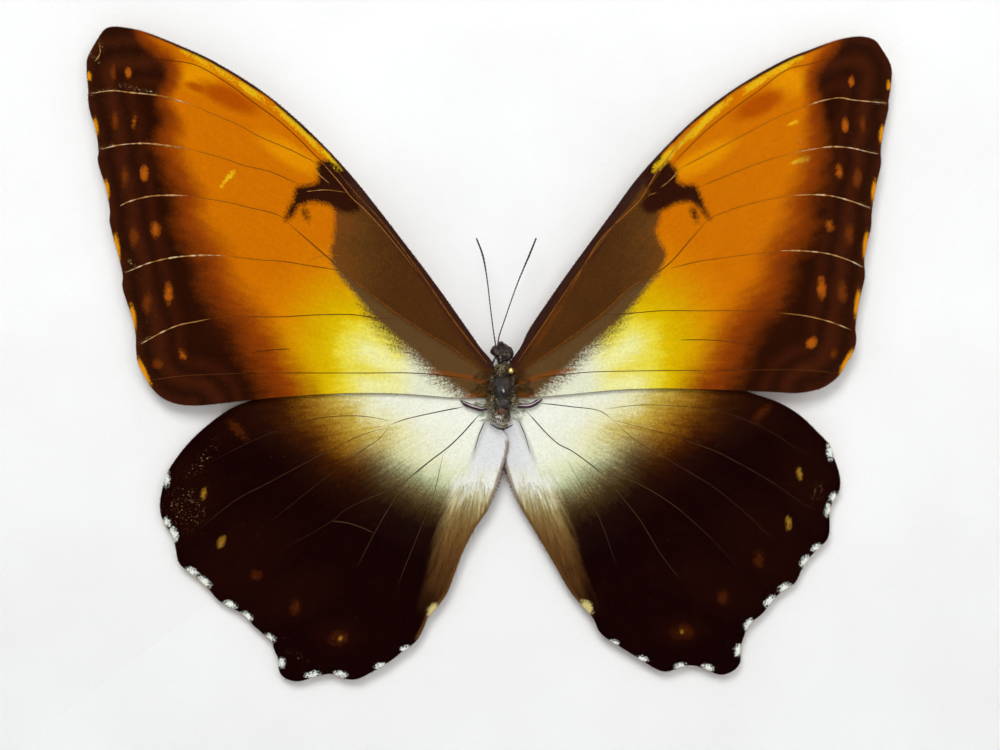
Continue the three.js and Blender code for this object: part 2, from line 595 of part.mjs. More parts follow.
function framedSpecimen() {
  const group = new THREE.Group();
  group.add(frameSides(), spacers(), specimen());
  group.add(node('glass', pane(GLASS_Y, GLASS_THICKNESS), 'glass'));
  group.add(node('backing_board', boardForm(), 'board'));
  group.add(node('back_panel', panelForm(), 'panel'));
  group.add(node('hanger', hangerForm(), 'steel'));
  group.add(node('hanger_rivet_left', rivetForm(-RIVET_X), 'steel'));
  group.add(node('hanger_rivet_right', rivetForm(RIVET_X), 'steel'));
  return group;
}

export default framedSpecimen();
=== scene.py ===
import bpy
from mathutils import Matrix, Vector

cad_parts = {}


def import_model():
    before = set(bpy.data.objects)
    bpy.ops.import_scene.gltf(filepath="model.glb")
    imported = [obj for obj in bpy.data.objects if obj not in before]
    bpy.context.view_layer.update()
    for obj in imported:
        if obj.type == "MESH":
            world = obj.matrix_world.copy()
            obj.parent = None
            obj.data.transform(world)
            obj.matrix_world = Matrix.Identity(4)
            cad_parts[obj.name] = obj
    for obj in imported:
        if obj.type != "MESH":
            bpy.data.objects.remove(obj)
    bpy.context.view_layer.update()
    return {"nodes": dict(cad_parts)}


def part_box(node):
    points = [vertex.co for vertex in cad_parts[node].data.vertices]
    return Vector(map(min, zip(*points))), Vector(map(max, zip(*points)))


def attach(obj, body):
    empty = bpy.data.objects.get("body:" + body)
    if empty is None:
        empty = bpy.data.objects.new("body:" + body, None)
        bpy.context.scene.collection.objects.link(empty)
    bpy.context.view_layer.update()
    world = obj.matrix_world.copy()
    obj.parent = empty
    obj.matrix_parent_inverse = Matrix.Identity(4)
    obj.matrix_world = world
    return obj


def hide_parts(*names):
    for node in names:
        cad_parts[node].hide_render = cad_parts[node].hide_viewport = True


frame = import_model()

# A large set butterfly, pinned to a white board in a black wooden box frame.
# Sizes are in millimetres until a mesh is made. The specimen has a plane of its own: outwards from
# the body's middle line, up the body towards the head, and lift off the board towards the glass.
import logging
import math
from dataclasses import dataclass
from enum import Enum

import bmesh
import bpy
import numpy as np
from mathutils import Vector, noise
from mathutils.geometry import delaunay_2d_cdt

Array = np.ndarray
Line = tuple[Array, Array, Array]
Path = list[tuple[float, ...]]
Point = tuple[float, float, float]
Piece = bpy.types.Object
Material = bpy.types.Material
Socket = bpy.types.NodeSocket
Tree = bpy.types.NodeTree

LOG = logging.getLogger("framed_butterfly")
MM = 0.001
BODY = "root"
BOARD_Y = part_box("backing_board")[0].y / MM
SPECIMEN_Z = 102.5
WING_EDGE_STEP = 0.3
WING_CELL = 0.36
WING_BACK_CELL = 1.4
WING_THICKNESS = 0.24
SHELL_RELIEF = 0.26
HEAD_VOXEL = 0.08
THORAX_VOXEL = 0.09
LIMB_STEP = 0.25
ROUND_EDGE = 0.2


class Side(Enum):
    """Which half of the specimen a piece is on, with the sign of its X."""

    LEFT = -1
    RIGHT = 1

    @property
    def word(self) -> str:
        """The side's name as it stands in a node's name."""
        return self.name.lower()


# Numbers

def smooth(low: float, high: float, value: Array) -> Array:
    """Eases from 0 at low to 1 at high.

    Args:
        low: What gives 0.
        high: What gives 1. It may be below low.
        value: The values to ease.

    Returns:
        The eased values.
    """
    share = np.clip((value - low) / (high - low), 0, 1)
    return share * share * (3 - 2 * share)


def from_path(at: Array, path: Path) -> Array:
    """Distance of points from an open path.

    Args:
        at: Points, one to a row.
        path: The corners of the path.

    Returns:
        Each point's distance from the nearest stretch.
    """
    corners = np.array([corner[:2] for corner in path])
    nearest = np.full(len(at), 1e9)
    for start, end in zip(corners[:-1], corners[1:]):
        along = end - start
        share = np.clip(((at - start) @ along) / max(along @ along, 1e-9), 0, 1)
        gap = at - start - share[:, None] * along
        nearest = np.minimum(nearest, np.hypot(gap[:, 0], gap[:, 1]))
    return nearest


def within(at: Array, ring: Path) -> Array:
    """Tells which points lie in a closed ring.

    Args:
        at: Points, one to a row.
        ring: The corners of the ring.

    Returns:
        True for each point inside.
    """
    corners = np.array([corner[:2] for corner in ring])
    inside = np.zeros(len(at), dtype=bool)
    for (x0, y0), (x1, y1) in zip(corners, np.roll(corners, -1, axis=0)):
        if y0 == y1:
            continue
        crossing = x0 + (at[:, 1] - y0) * (x1 - x0) / (y1 - y0)
        inside ^= ((y0 > at[:, 1]) != (y1 > at[:, 1])) & (at[:, 0] < crossing)
    return inside


def signed_gap(at: Array, ring: Path) -> Array:
    """How deep points lie inside a ring that is smoothed first.

    Args:
        at: Points, one to a row.
        ring: The corners of the ring.

    Returns:
        The distance from the ring, negative outside it.
    """
    outline = [tuple(point) for point in curve_through(ring, 1, closed=True)]
    gap = from_path(at, outline + outline[:1])
    return np.where(within(at, outline), gap, -gap)


def region(at: Array, ring: Path, soft: float | Array) -> Array:
    """A soft-edged patch: 1 inside, 0.5 on its ring, 0 outside, fading over soft to each side."""
    return np.clip(0.5 + 0.5 * signed_gap(at, ring) / soft, 0, 1)


def stroke(at: Array, path: Path, half_width: float, soft: float) -> Array:
    """A soft-edged line.

    Args:
        at: Points, one to a row.
        path: The corners of the line.
        half_width: Half of its width.
        soft: How far its edge fades.

    Returns:
        1 on the line, 0 away from it.
    """
    return smooth(half_width + soft, half_width, from_path(at, path))


def dots(at: Array, spots: Path, soft: float = 1.0) -> Array:
    """Soft oval spots.

    Args:
        at: Points, one to a row.
        spots: Outwards, up, width, height and, if there is one, turn in degrees.

    Returns:
        1 in the middle of a spot, 0.5 at its rim, 0 away from it.
    """
    cover = np.zeros(len(at))
    for out, up, width, height, *turn in spots:
        angle = math.radians(turn[0]) if turn else 0
        gap = at - (out, up)
        across = gap[:, 0] * math.cos(angle) + gap[:, 1] * math.sin(angle)
        along = gap[:, 1] * math.cos(angle) - gap[:, 0] * math.sin(angle)
        reach = np.hypot(across / (0.5 * width), along / (0.5 * height))
        cover = np.maximum(cover, np.clip((1 + 0.5 * soft - reach) / soft, 0, 1))
    return cover


def curve_through(points: Path, step: float, closed: bool = False) -> Array:
    """A smooth centripetal curve through points.

    Args:
        points: What the curve runs through.
        step: The distance between the points that come back.
        closed: Whether it is a ring.

    Returns:
        Evenly spaced points; a ring's first one isn't there twice.
    """
    given = np.array(points, dtype=float)
    if closed:
        padded = np.vstack([given[-1:], given, given[:2]])
    else:
        padded = np.vstack([2 * given[0] - given[1], given, 2 * given[-1] - given[-2]])
    fine = []
    for before, start, end, after in zip(padded, padded[1:], padded[2:], padded[3:]):
        gaps = [max(np.linalg.norm(b - a) ** 0.5, 1e-6)
                for a, b in ((before, start), (start, end), (end, after))]
        leave = (start - before) / gaps[0] - (end - before) / (gaps[0] + gaps[1]) + (end - start) / gaps[1]
        arrive = (end - start) / gaps[1] - (after - start) / (gaps[1] + gaps[2]) + (after - end) / gaps[2]
        for share in np.arange(0, 1, 1 / 24):
            square, cube = share ** 2, share ** 3
            fine.append((2 * cube - 3 * square + 1) * start + (cube - 2 * square + share) * leave * gaps[1]
                        + (3 * square - 2 * cube) * end + (cube - square) * arrive * gaps[1])
    fine.append(given[0] if closed else given[-1])
    dense = np.array(fine)
    reach = np.concatenate([[0], np.cumsum(np.linalg.norm(np.diff(dense, axis=0), axis=1))])
    count = max(2, round(reach[-1] / step))
    places = np.linspace(0, reach[-1], count + 1)
    if closed:
        places = places[:-1]
    return np.stack([np.interp(places, reach, dense[:, axis]) for axis in range(given.shape[1])], axis=1)


def world(across: Array, up: Array, lift: Array) -> Array:
    """Turns places in the specimen's plane into metres in the frame.

    Args:
        across: Along X.
        up: Up the body.
        lift: Off the board.

    Returns:
        One place to a row.
    """
    return np.stack([across, BOARD_Y - lift, SPECIMEN_Z + up], axis=1) * MM


# Meshes

def add_object(name: str, data: bpy.types.ID) -> Piece:
    """Makes an object and links it to the scene.

    Args:
        name: Its name.
        data: Its mesh, light or camera.

    Returns:
        The object.
    """
    made = bpy.data.objects.new(name, data)
    bpy.context.scene.collection.objects.link(made)
    return made


def new_piece(name: str, vertices: Array, faces: list, edges: list | None = None) -> Piece:
    """Makes a piece from plain numbers.

    Args:
        name: The piece's name.
        vertices: Places in metres.
        faces: Corner numbers of each face.
        edges: Corner numbers of loose edges.

    Returns:
        The piece.
    """
    mesh = bpy.data.meshes.new(name)
    mesh.from_pydata([tuple(place) for place in vertices], edges or [], faces)
    mesh.update()
    return add_object(name, mesh)


def detail_of(node: str, work: bmesh.types.BMesh) -> Piece:
    """Turns a bmesh into the piece that stands for a node.

    Args:
        node: The node's name.
        work: The bmesh, which is freed.

    Returns:
        The piece.
    """
    mesh = bpy.data.meshes.new(node + "_detail")
    work.to_mesh(mesh)
    work.free()
    return add_object(mesh.name, mesh)


def vertices_of(mesh: bpy.types.Mesh) -> tuple[Array, Array]:
    """Reads a mesh.

    Args:
        mesh: The mesh.

    Returns:
        The vertices' places in millimetres and their normals, one to a row.
    """
    places, normals = np.empty(3 * len(mesh.vertices)), np.empty(3 * len(mesh.vertices))
    mesh.vertices.foreach_get("co", places)
    mesh.vertex_normals.foreach_get("vector", normals)
    return places.reshape(-1, 3) / MM, normals.reshape(-1, 3)


def paint(mesh: bpy.types.Mesh, name: str, values: Array) -> None:
    """Stores one value or one vector for each vertex.

    Args:
        mesh: The mesh to mark.
        name: The attribute's name.
        values: A number or three for each vertex.
    """
    values = np.asarray(values, dtype=np.float32)
    kind, key = ("FLOAT", "value") if values.ndim == 1 else ("FLOAT_VECTOR", "vector")
    layer = mesh.attributes.new(name, kind, "POINT")
    layer.data.foreach_set(key, values.ravel())


def shade_smooth(piece: Piece, angle: float = 40.0) -> None:
    """Shades a piece smooth but for edges sharper than an angle in degrees."""
    mesh = piece.data
    mesh.polygons.foreach_set("use_smooth", [True] * len(mesh.polygons))
    mesh.set_sharp_from_angle(angle=math.radians(angle))


def finish_modifiers(piece: Piece) -> None:
    """Turns a piece with modifiers into the plain mesh that they give."""
    graph = bpy.context.evaluated_depsgraph_get()
    mesh = bpy.data.meshes.new_from_object(
        piece.evaluated_get(graph), preserve_all_data_layers=True, depsgraph=graph)
    piece.modifiers.clear()
    old = piece.data
    piece.data = mesh
    mesh.name = piece.name
    bpy.data.meshes.remove(old)


def hand_over(piece: Piece, slot: str, *nodes: str, material: Material | None = None) -> None:
    """Puts a finished piece on the frame.

    Args:
        piece: The piece.
        slot: A material slot's name, which is not used.
        nodes: The nodes that it stands for.
        material: Its one material, if it has none yet.
    """
    if material:
        piece.data.materials.clear()
        piece.data.materials.append(material)
    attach(piece, BODY)
    if nodes:
        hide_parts(*nodes)
    LOG.info("%s: %d faces", piece.name, len(piece.data.polygons))


def lathe(node: str, profile: Path, centre: Point, sides: int) -> Piece:
    """Turns a profile round an axis that runs along Y.

    Args:
        node: The node that the piece stands for.
        profile: Radius and place along Y, both ends on the axis.
        centre: X, Y and Z of the axis at the profile's zero.
        sides: How many sides the round has.

    Returns:
        The closed piece.
    """
    turns = [2 * math.pi * side / sides for side in range(sides)]
    vertices = [(centre[0] + radius * math.cos(turn), centre[1] + along, centre[2] + radius * math.sin(turn))
                for radius, along in profile[1:-1] for turn in turns]
    ends = [(centre[0], centre[1] + along, centre[2]) for _, along in (profile[0], profile[-1])]
    first, last, top = len(vertices), len(vertices) + 1, len(vertices) - sides
    faces = []
    for side in range(sides):
        following = (side + 1) % sides
        faces += [(first, side, following), (last, top + following, top + side)]
        faces += [(low + side, low + sides + side, low + sides + following, low + following)
                  for low in range(0, top, sides)]
    piece = new_piece(node + "_detail", np.array(vertices + ends) * MM, faces)
    work = bmesh.new()
    work.from_mesh(piece.data)
    bmesh.ops.recalc_face_normals(work, faces=work.faces)
    work.to_mesh(piece.data)
    work.free()
    shade_smooth(piece)
    return piece


def bevelled_copy(name: str, width: float = ROUND_EDGE, segments: int = 2) -> Piece:
    """Copies a node's mesh as a piece with rounded edges.

    Args:
        name: The node, and the word before _detail in the piece's name.
        width: The width of the rounding in millimetres.
        segments: How many faces go round an edge.

    Returns:
        The new piece.
    """
    work = bmesh.new()
    work.from_mesh(frame["nodes"][name].data)
    bmesh.ops.remove_doubles(work, verts=work.verts, dist=1e-6)
    bmesh.ops.dissolve_limit(
        work, angle_limit=math.radians(1), verts=work.verts, edges=work.edges, delimit=set())
    sharp = [edge for edge in work.edges
             if len(edge.link_faces) == 2 and edge.calc_face_angle() > math.radians(30)]
    bmesh.ops.bevel(work, geom=sharp, offset=width * MM, segments=segments, profile=0.5,
                    affect="EDGES", clamp_overlap=True)
    piece = detail_of(name, work)
    shade_smooth(piece)
    return piece


# Shaders

def srgb(red: float, green: float, blue: float) -> tuple[float, float, float, float]:
    """Turns a colour as seen, 0 to 255, into the linear one that a socket takes."""
    share = [value / 255 for value in (red, green, blue)]
    linear = [v / 12.92 if v <= 0.04045 else ((v + 0.055) / 1.055) ** 2.4 for v in share]
    return (*linear, 1)


class Graph:
    """Short calls that build a node tree."""

    def __init__(self, tree: Tree) -> None:
        """Keeps the tree that the calls add to."""
        self.tree = tree

    def feed(self, node: bpy.types.Node, inputs: dict) -> None:
        """Fills a node's inputs.

        Args:
            node: The node.
            inputs: Sockets or plain values by input name or number.
        """
        for key, value in inputs.items():
            if isinstance(value, Socket):
                self.tree.links.new(value, node.inputs[key])
            else:
                node.inputs[key].default_value = value

    def node(self, kind: str, inputs: dict, **settings: object) -> bpy.types.Node:
        """Adds a node.

        Args:
            kind: The node's type.
            inputs: Sockets or plain values by input name or number.
            settings: The node's own properties.

        Returns:
            The node.
        """
        made = self.tree.nodes.new(kind)
        for name, value in settings.items():
            setattr(made, name, value)
        self.feed(made, inputs)
        return made

    def math(self, operation: str, *values: Socket | float) -> Socket:
        """Adds a sum of one to three values and returns its result."""
        return self.node("ShaderNodeMath", dict(enumerate(values)), operation=operation).outputs[0]

    def tinted(self, first: Socket, second: Socket) -> Socket:
        """Multiplies two vectors or colours."""
        return self.node("ShaderNodeVectorMath", {0: first, 1: second}, operation="MULTIPLY").outputs[0]

    def ease(self, value: Socket, low: Socket | float, high: Socket | float) -> Socket:
        """Eases a value from 0 at low to 1 at high."""
        inputs = {"Value": value, "From Min": low, "From Max": high}
        return self.node("ShaderNodeMapRange", inputs, interpolation_type="SMOOTHSTEP").outputs["Result"]

    def blend(self, amount: Socket | float, first: Socket | Point, second: Socket | Point) -> Socket:
        """Mixes two colours, given as sockets or as seen, by an amount."""
        first, second = (end if isinstance(end, Socket) else srgb(*end) for end in (first, second))
        return self.node("ShaderNodeMix", {0: amount, 6: first, 7: second}, data_type="RGBA").outputs[2]

    def noise(self, vector: Socket, scale: float | Socket, detail: float = 3.0,
              roughness: float = 0.55) -> Socket:
        """A noise value from 0 to 1."""
        inputs = {"Vector": vector, "Scale": scale, "Detail": detail, "Roughness": roughness}
        return self.node("ShaderNodeTexNoise", inputs).outputs[0]

    def ramp(self, value: Socket, stops: Path) -> Socket:
        """A colour ramp.

        Args:
            value: What it reads.
            stops: Place, red, green and blue of each stop.

        Returns:
            The colour.
        """
        made = self.node("ShaderNodeValToRGB", {"Fac": value})
        elements = made.color_ramp.elements
        while len(elements) < len(stops):
            elements.new(0.5)
        for element, (place, *tone) in zip(elements, stops):
            element.position = place
            element.color = srgb(*tone)
        return made.outputs["Color"]

    def mark(self, name: str, output: str = "Fac") -> Socket:
        """Reads an attribute of the mesh."""
        return self.node("ShaderNodeAttribute", {}, attribute_name=name).outputs[output]

    def place(self, stretch: Point = (1.0, 1.0, 1.0)) -> Socket:
        """Object coordinates in millimetres, or stretched."""
        inputs = {"Vector": self.node("ShaderNodeTexCoord", {}).outputs["Object"],
                  "Scale": tuple(value / MM for value in stretch)}
        return self.node("ShaderNodeMapping", inputs).outputs[0]

    def bump(self, height: Socket, distance: float, strength: float = 1.0) -> Socket:
        """A normal from a height; the distance is in millimetres."""
        inputs = {"Height": height, "Distance": distance * MM, "Strength": strength}
        return self.node("ShaderNodeBump", inputs).outputs[0]

    def group(self, name: str, inputs: dict) -> bpy.types.Node:
        """Places a node group."""
        return self.node("ShaderNodeGroup", inputs, node_tree=bpy.data.node_groups[name])


def new_tree(name: str, kind: str, inputs: dict[str, tuple],
             outputs: dict[str, str]) -> tuple[Graph, dict[str, Socket]]:
    """Starts a node group.

    Args:
        name: The group's name.
        kind: Shader or Geometry.
        inputs: Socket kind and default, if it has one, by input name.
        outputs: Socket kind by output name.

    Returns:
        Its graph and the input sockets by name.
    """
    tree = bpy.data.node_groups.new(name, kind + "NodeTree")
    for label, (socket_kind, *default) in inputs.items():
        socket = tree.interface.new_socket(label, in_out="INPUT", socket_type="NodeSocket" + socket_kind)
        if default:
            socket.default_value = default[0]
    for label, socket_kind in outputs.items():
        tree.interface.new_socket(label, in_out="OUTPUT", socket_type="NodeSocket" + socket_kind)
    start = tree.nodes.new("NodeGroupInput")
    return Graph(tree), {socket.name: socket for socket in start.outputs if socket.name}


def make_speckle() -> None:
    """Fine scales: a light and dark speckle with a height to go with it."""
    graph, given = new_tree(
        "Scale speckle", "Shader",
        {"Vector": ("Vector",), "Size": ("Float", 0.3), "Contrast": ("Float", 0.2)},
        {"Tint": "Float", "Height": "Float"})
    scale = graph.math("DIVIDE", 1, given["Size"])
    fine = graph.noise(given["Vector"], scale, 2, 0.7)
    cells = graph.node("ShaderNodeTexVoronoi", {"Vector": given["Vector"], "Scale": scale}).outputs["Color"]
    grey = graph.node("ShaderNodeSeparateColor", {"Color": cells}).outputs[0]
    both = graph.math("ADD", graph.math("MULTIPLY", fine, 0.65), graph.math("MULTIPLY", grey, 0.35))
    tint = graph.math("MULTIPLY_ADD", graph.math("SUBTRACT", both, 0.5), given["Contrast"], 1)
    graph.node("NodeGroupOutput", {"Tint": tint, "Height": both})


def make_ragged() -> None:
    """Breaks a soft mask into a grainy, streaky edge."""
    graph, given = new_tree(
        "Ragged mask", "Shader",
        {"Mask": ("Float", 0), "Vector": ("Vector",), "Ray": ("Vector",),
         "Grain": ("Float", 0.35), "Streak": ("Float", 0.3), "Softness": ("Float", 0.2)},
        {"Mask": "Float"})
    grain = graph.noise(given["Vector"], 2.6, 3, 0.8)
    streak = graph.noise(given["Ray"], 1, 3, 0.6)
    rough = graph.math("MULTIPLY", graph.math("SUBTRACT", grain, 0.5), given["Grain"])
    drawn = graph.math("MULTIPLY", graph.math("SUBTRACT", streak, 0.5), given["Streak"])
    left = graph.math("SUBTRACT", 1, given["Mask"])
    edge = graph.math("MULTIPLY", graph.math("MULTIPLY", given["Mask"], left), 6)
    unrest = graph.math("MULTIPLY", graph.math("ADD", rough, drawn), graph.math("MINIMUM", edge, 1))
    moved = graph.math("ADD", given["Mask"], unrest)
    low = graph.math("SUBTRACT", 0.5, given["Softness"])
    high = graph.math("ADD", 0.5, given["Softness"])
    graph.node("NodeGroupOutput", {"Mask": graph.ease(moved, low, high)})


def make_fibre() -> None:
    """Long fibres or grain along the first axis of a vector."""
    graph, given = new_tree(
        "Fibre grain", "Shader",
        {"Vector": ("Vector",), "Stretch": ("Vector", (0.05, 1, 1)), "Scale": ("Float", 1)},
        {"Fac": "Float", "Pores": "Float"})
    along = graph.tinted(given["Vector"], given["Stretch"])
    wide = graph.noise(along, given["Scale"], 4, 0.6)
    fine = graph.noise(along, graph.math("MULTIPLY", given["Scale"], 5), 2, 0.7)
    fac = graph.math("MULTIPLY_ADD", fine, 0.4, graph.math("MULTIPLY", wide, 0.6))
    graph.node("NodeGroupOutput", {"Fac": fac, "Pores": graph.ease(fine, 0.62, 0.74)})


@dataclass(frozen=True)
class Finish:
    """A surface finish. A subclass says what its nodes are."""

    name: str = "finish"
    roughness: float = 0.6
    specular: float = 0.5

    def build(self) -> Material:
        """Makes the material.

        Returns:
            The new material.
        """
        material = bpy.data.materials.new(self.name)
        material.use_nodes = True
        graph = Graph(material.node_tree)
        plain = {"Roughness": self.roughness, "Specular IOR Level": self.specular}
        graph.feed(material.node_tree.nodes["Principled BSDF"], plain | self.dress(graph))
        return material

    def dress(self, graph: Graph) -> dict[str, object]:
        """Adds the nodes.

        Args:
            graph: The material's graph.

        Returns:
            What goes into the shader's sockets, by name.
        """
        raise NotImplementedError


@dataclass(frozen=True)
class BlackWood(Finish):
    """Close-grained wood stained black, rubbed a little through at its outer edges."""

    name: str = "Black stained wood"
    half_width: float = 136.0
    half_height: float = 110.5
    half_depth: float = 19.0

    def dress(self, graph: Graph) -> dict[str, object]:
        """Adds the nodes."""
        grain = graph.group("Fibre grain", {
            "Vector": graph.mark("grain", "Vector"), "Stretch": (0.03, 1, 1), "Scale": 0.9})
        parts = graph.node("ShaderNodeSeparateXYZ", {"Vector": graph.place()})
        side = graph.math("SUBTRACT", self.half_width, graph.math("ABSOLUTE", parts.outputs[0]))
        level = graph.math("SUBTRACT", parts.outputs[2], self.half_height)
        end = graph.math("SUBTRACT", self.half_height, graph.math("ABSOLUTE", level))
        depth = graph.math("ADD", parts.outputs[1], self.half_depth)
        corner = graph.math("MAXIMUM", graph.math("MINIMUM", side, end), depth)
        patchy = graph.noise(graph.place(), 0.22, 4, 0.7)
        rubbed = graph.math("SUBTRACT", graph.math("MULTIPLY", patchy, 2.4), corner)
        wear = graph.math("MULTIPLY", graph.ease(rubbed, 0.55, 1.1), 0.5)
        base = graph.ramp(grain.outputs["Fac"], [
            (0.3, 17, 15, 14), (0.55, 29, 26, 24), (0.8, 42, 37, 33)])
        pores = graph.blend(grain.outputs["Pores"], base, (9, 8, 8))
        colour = graph.blend(wear, pores, (92, 68, 48))
        dips = graph.math("MULTIPLY", grain.outputs["Pores"], 0.6)
        height = graph.math("SUBTRACT", grain.outputs["Fac"], dips)
        rough = graph.math("MULTIPLY_ADD", grain.outputs["Fac"], 0.3, 0.3)
        return {"Base Color": colour, "Roughness": rough, "Normal": graph.bump(height, 0.25, 0.5)}


@dataclass(frozen=True)
class ClearGlass(Finish):
    """Thin picture glass with next to no reflection."""

    name: str = "Clear picture glass"
    roughness: float = 0.0

    def dress(self, graph: Graph) -> dict[str, object]:
        """Adds the nodes."""
        tint = graph.noise(graph.place(), 0.01, 1)
        colour = graph.ramp(tint, [(0, 253.31, 255, 254.44), (1, 255, 255, 255)])
        return {"Base Color": colour, "Transmission Weight": 1, "IOR": 1.02}


@dataclass(frozen=True)
class Card(Finish):
    """White card or board with a faint felt texture."""

    name: str = "White card"
    roughness: float = 0.9
    specular: float = 0.15
    light: Point = (246.0, 246.0, 246.0)
    dark: Point = (238.0, 238.0, 237.0)

    def dress(self, graph: Graph) -> dict[str, object]:
        """Adds the nodes."""
        felt = graph.noise(graph.place(), 1.4, 5, 0.75)
        cloud = graph.noise(graph.place(), 0.03, 2)
        both = graph.math("MULTIPLY_ADD", felt, 0.35, graph.math("MULTIPLY", cloud, 0.65))
        colour = graph.ramp(both, [(0.3, *self.dark), (0.65, *self.light)])
        return {"Base Color": colour, "Normal": graph.bump(felt, 0.05, 0.35)}


@dataclass(frozen=True)
class Hardboard(Finish):
    """Brown pressed-fibre board with darker flecks."""

    name: str = "Brown hardboard"
    roughness: float = 0.72

    def dress(self, graph: Graph) -> dict[str, object]:
        """Adds the nodes."""
        at = graph.place()
        flecks = graph.noise(graph.place((1, 1, 0.35)), 1.1, 5, 0.8)
        cloud = graph.noise(at, 0.035, 3)
        base = graph.ramp(cloud, [(0.3, 120, 84, 54), (0.7, 143, 103, 68)])
        colour = graph.blend(graph.ease(flecks, 0.52, 0.7), base, (88, 57, 35))
        pale = graph.blend(graph.ease(graph.noise(at, 2, 3, 0.8), 0.62, 0.75), colour, (178, 140, 100))
        return {"Base Color": pale, "Normal": graph.bump(flecks, 0.12, 0.6)}


@dataclass(frozen=True)
class Metal(Finish):
    """Sheet metal or wire with fine rolling lines and a little tarnish."""

    name: str = "Rolled steel"
    roughness: float = 0.35
    bright: Point = (190.0, 192.0, 196.0)
    dull: Point = (120.0, 121.0, 124.0)

    def dress(self, graph: Graph) -> dict[str, object]:
        """Adds the nodes."""
        lines = graph.group("Fibre grain", {
            "Vector": graph.place(), "Stretch": (0.06, 1, 1), "Scale": 4})
        tarnish = graph.noise(graph.place(), 0.45, 4, 0.7)
        colour = graph.blend(graph.ease(tarnish, 0.45, 0.75), self.bright, self.dull)
        rough = graph.math("MULTIPLY_ADD", tarnish, 0.4, self.roughness - 0.15)
        return {"Base Color": colour, "Metallic": 1, "Roughness": rough,
                "Normal": graph.bump(lines.outputs["Fac"], 0.02, 0.4)}


@dataclass(frozen=True)
class WingScales(Finish):
    """What both kinds of wing share: a fine speckle of scales over a painted ground."""

    roughness: float = 0.9
    specular: float = 0.02
    grain: float = 0.3

    def ragged(self, graph: Graph, name: str, grain: float, streak: float, softness: float = 0.5,
               strength: float = 1.0) -> Socket:
        """A painted mask with a grainy edge.

        Args:
            graph: The material's graph.
            name: The mask's attribute.
            grain: How far single scales stray over the edge.
            streak: How far the edge runs out along the wing.
            softness: How wide the fade is.
            strength: The mask's value where it is full.

        Returns:
            The mask.
        """
        ray = graph.mark("ray", "Vector")
        mask = graph.group("Ragged mask", {
            "Mask": graph.mark(name), "Vector": graph.place(), "Ray": ray,
            "Grain": grain, "Streak": streak, "Softness": softness}).outputs["Mask"]
        return graph.math("MULTIPLY", mask, strength)

    def layers(self, graph: Graph, colour: Socket, steps: list[tuple]) -> Socket:
        """Lays flat tones over a colour.

        Args:
            graph: The material's graph.
            colour: The colour below.
            steps: Mask name, grain, streak, softness, strength and tone of each layer.

        Returns:
            The colour on top.
        """
        for name, grain, streak, softness, strength, tone in steps:
            mask = self.ragged(graph, name, grain, streak, softness, strength)
            colour = graph.blend(mask, colour, tone)
        return colour

    def unrest(self, graph: Graph) -> tuple[Socket, Socket, Socket]:
        """Noises round 0: fine grain, streaks along the wing, and cloudiness."""
        noises = (graph.noise(graph.place(), 2.4, 3, 0.8), graph.noise(graph.mark("ray", "Vector"), 1.5, 4),
                  graph.noise(graph.place(), 0.25, 4, 0.65))
        return tuple(graph.math("SUBTRACT", value, 0.5) for value in noises)

    def stirred(self, graph: Graph, name: str, *amounts: float) -> Socket:
        """A painted value moved by grain, streaks and clouds."""
        value = graph.mark(name)
        for unrest, amount in zip(self.unrest(graph), amounts):
            value = graph.math("MULTIPLY_ADD", unrest, amount, value)
        return value

    def ground(self, graph: Graph) -> Socket:
        """The colour without the speckle."""
        raise NotImplementedError

    def dress(self, graph: Graph) -> dict[str, object]:
        """Adds the nodes."""
        dust = graph.ease(graph.noise(graph.place(), 1.7, 4, 0.9), 0.66, 0.71)
        colour = graph.blend(graph.math("MULTIPLY", dust, 0.3), self.ground(graph), (170, 144, 108))
        speckle = graph.group("Scale speckle", {
            "Vector": graph.place(), "Size": 0.34, "Contrast": self.grain})
        streak = graph.noise(graph.mark("ray", "Vector"), 2.2, 3, 0.6)
        swing = graph.math("SUBTRACT", streak, 0.5)
        light = graph.math("MULTIPLY_ADD", swing, 0.14, speckle.outputs["Tint"])
        normal = graph.bump(speckle.outputs["Height"], 0.05, 0.35)
        return {"Base Color": graph.tinted(colour, light), "Normal": normal}


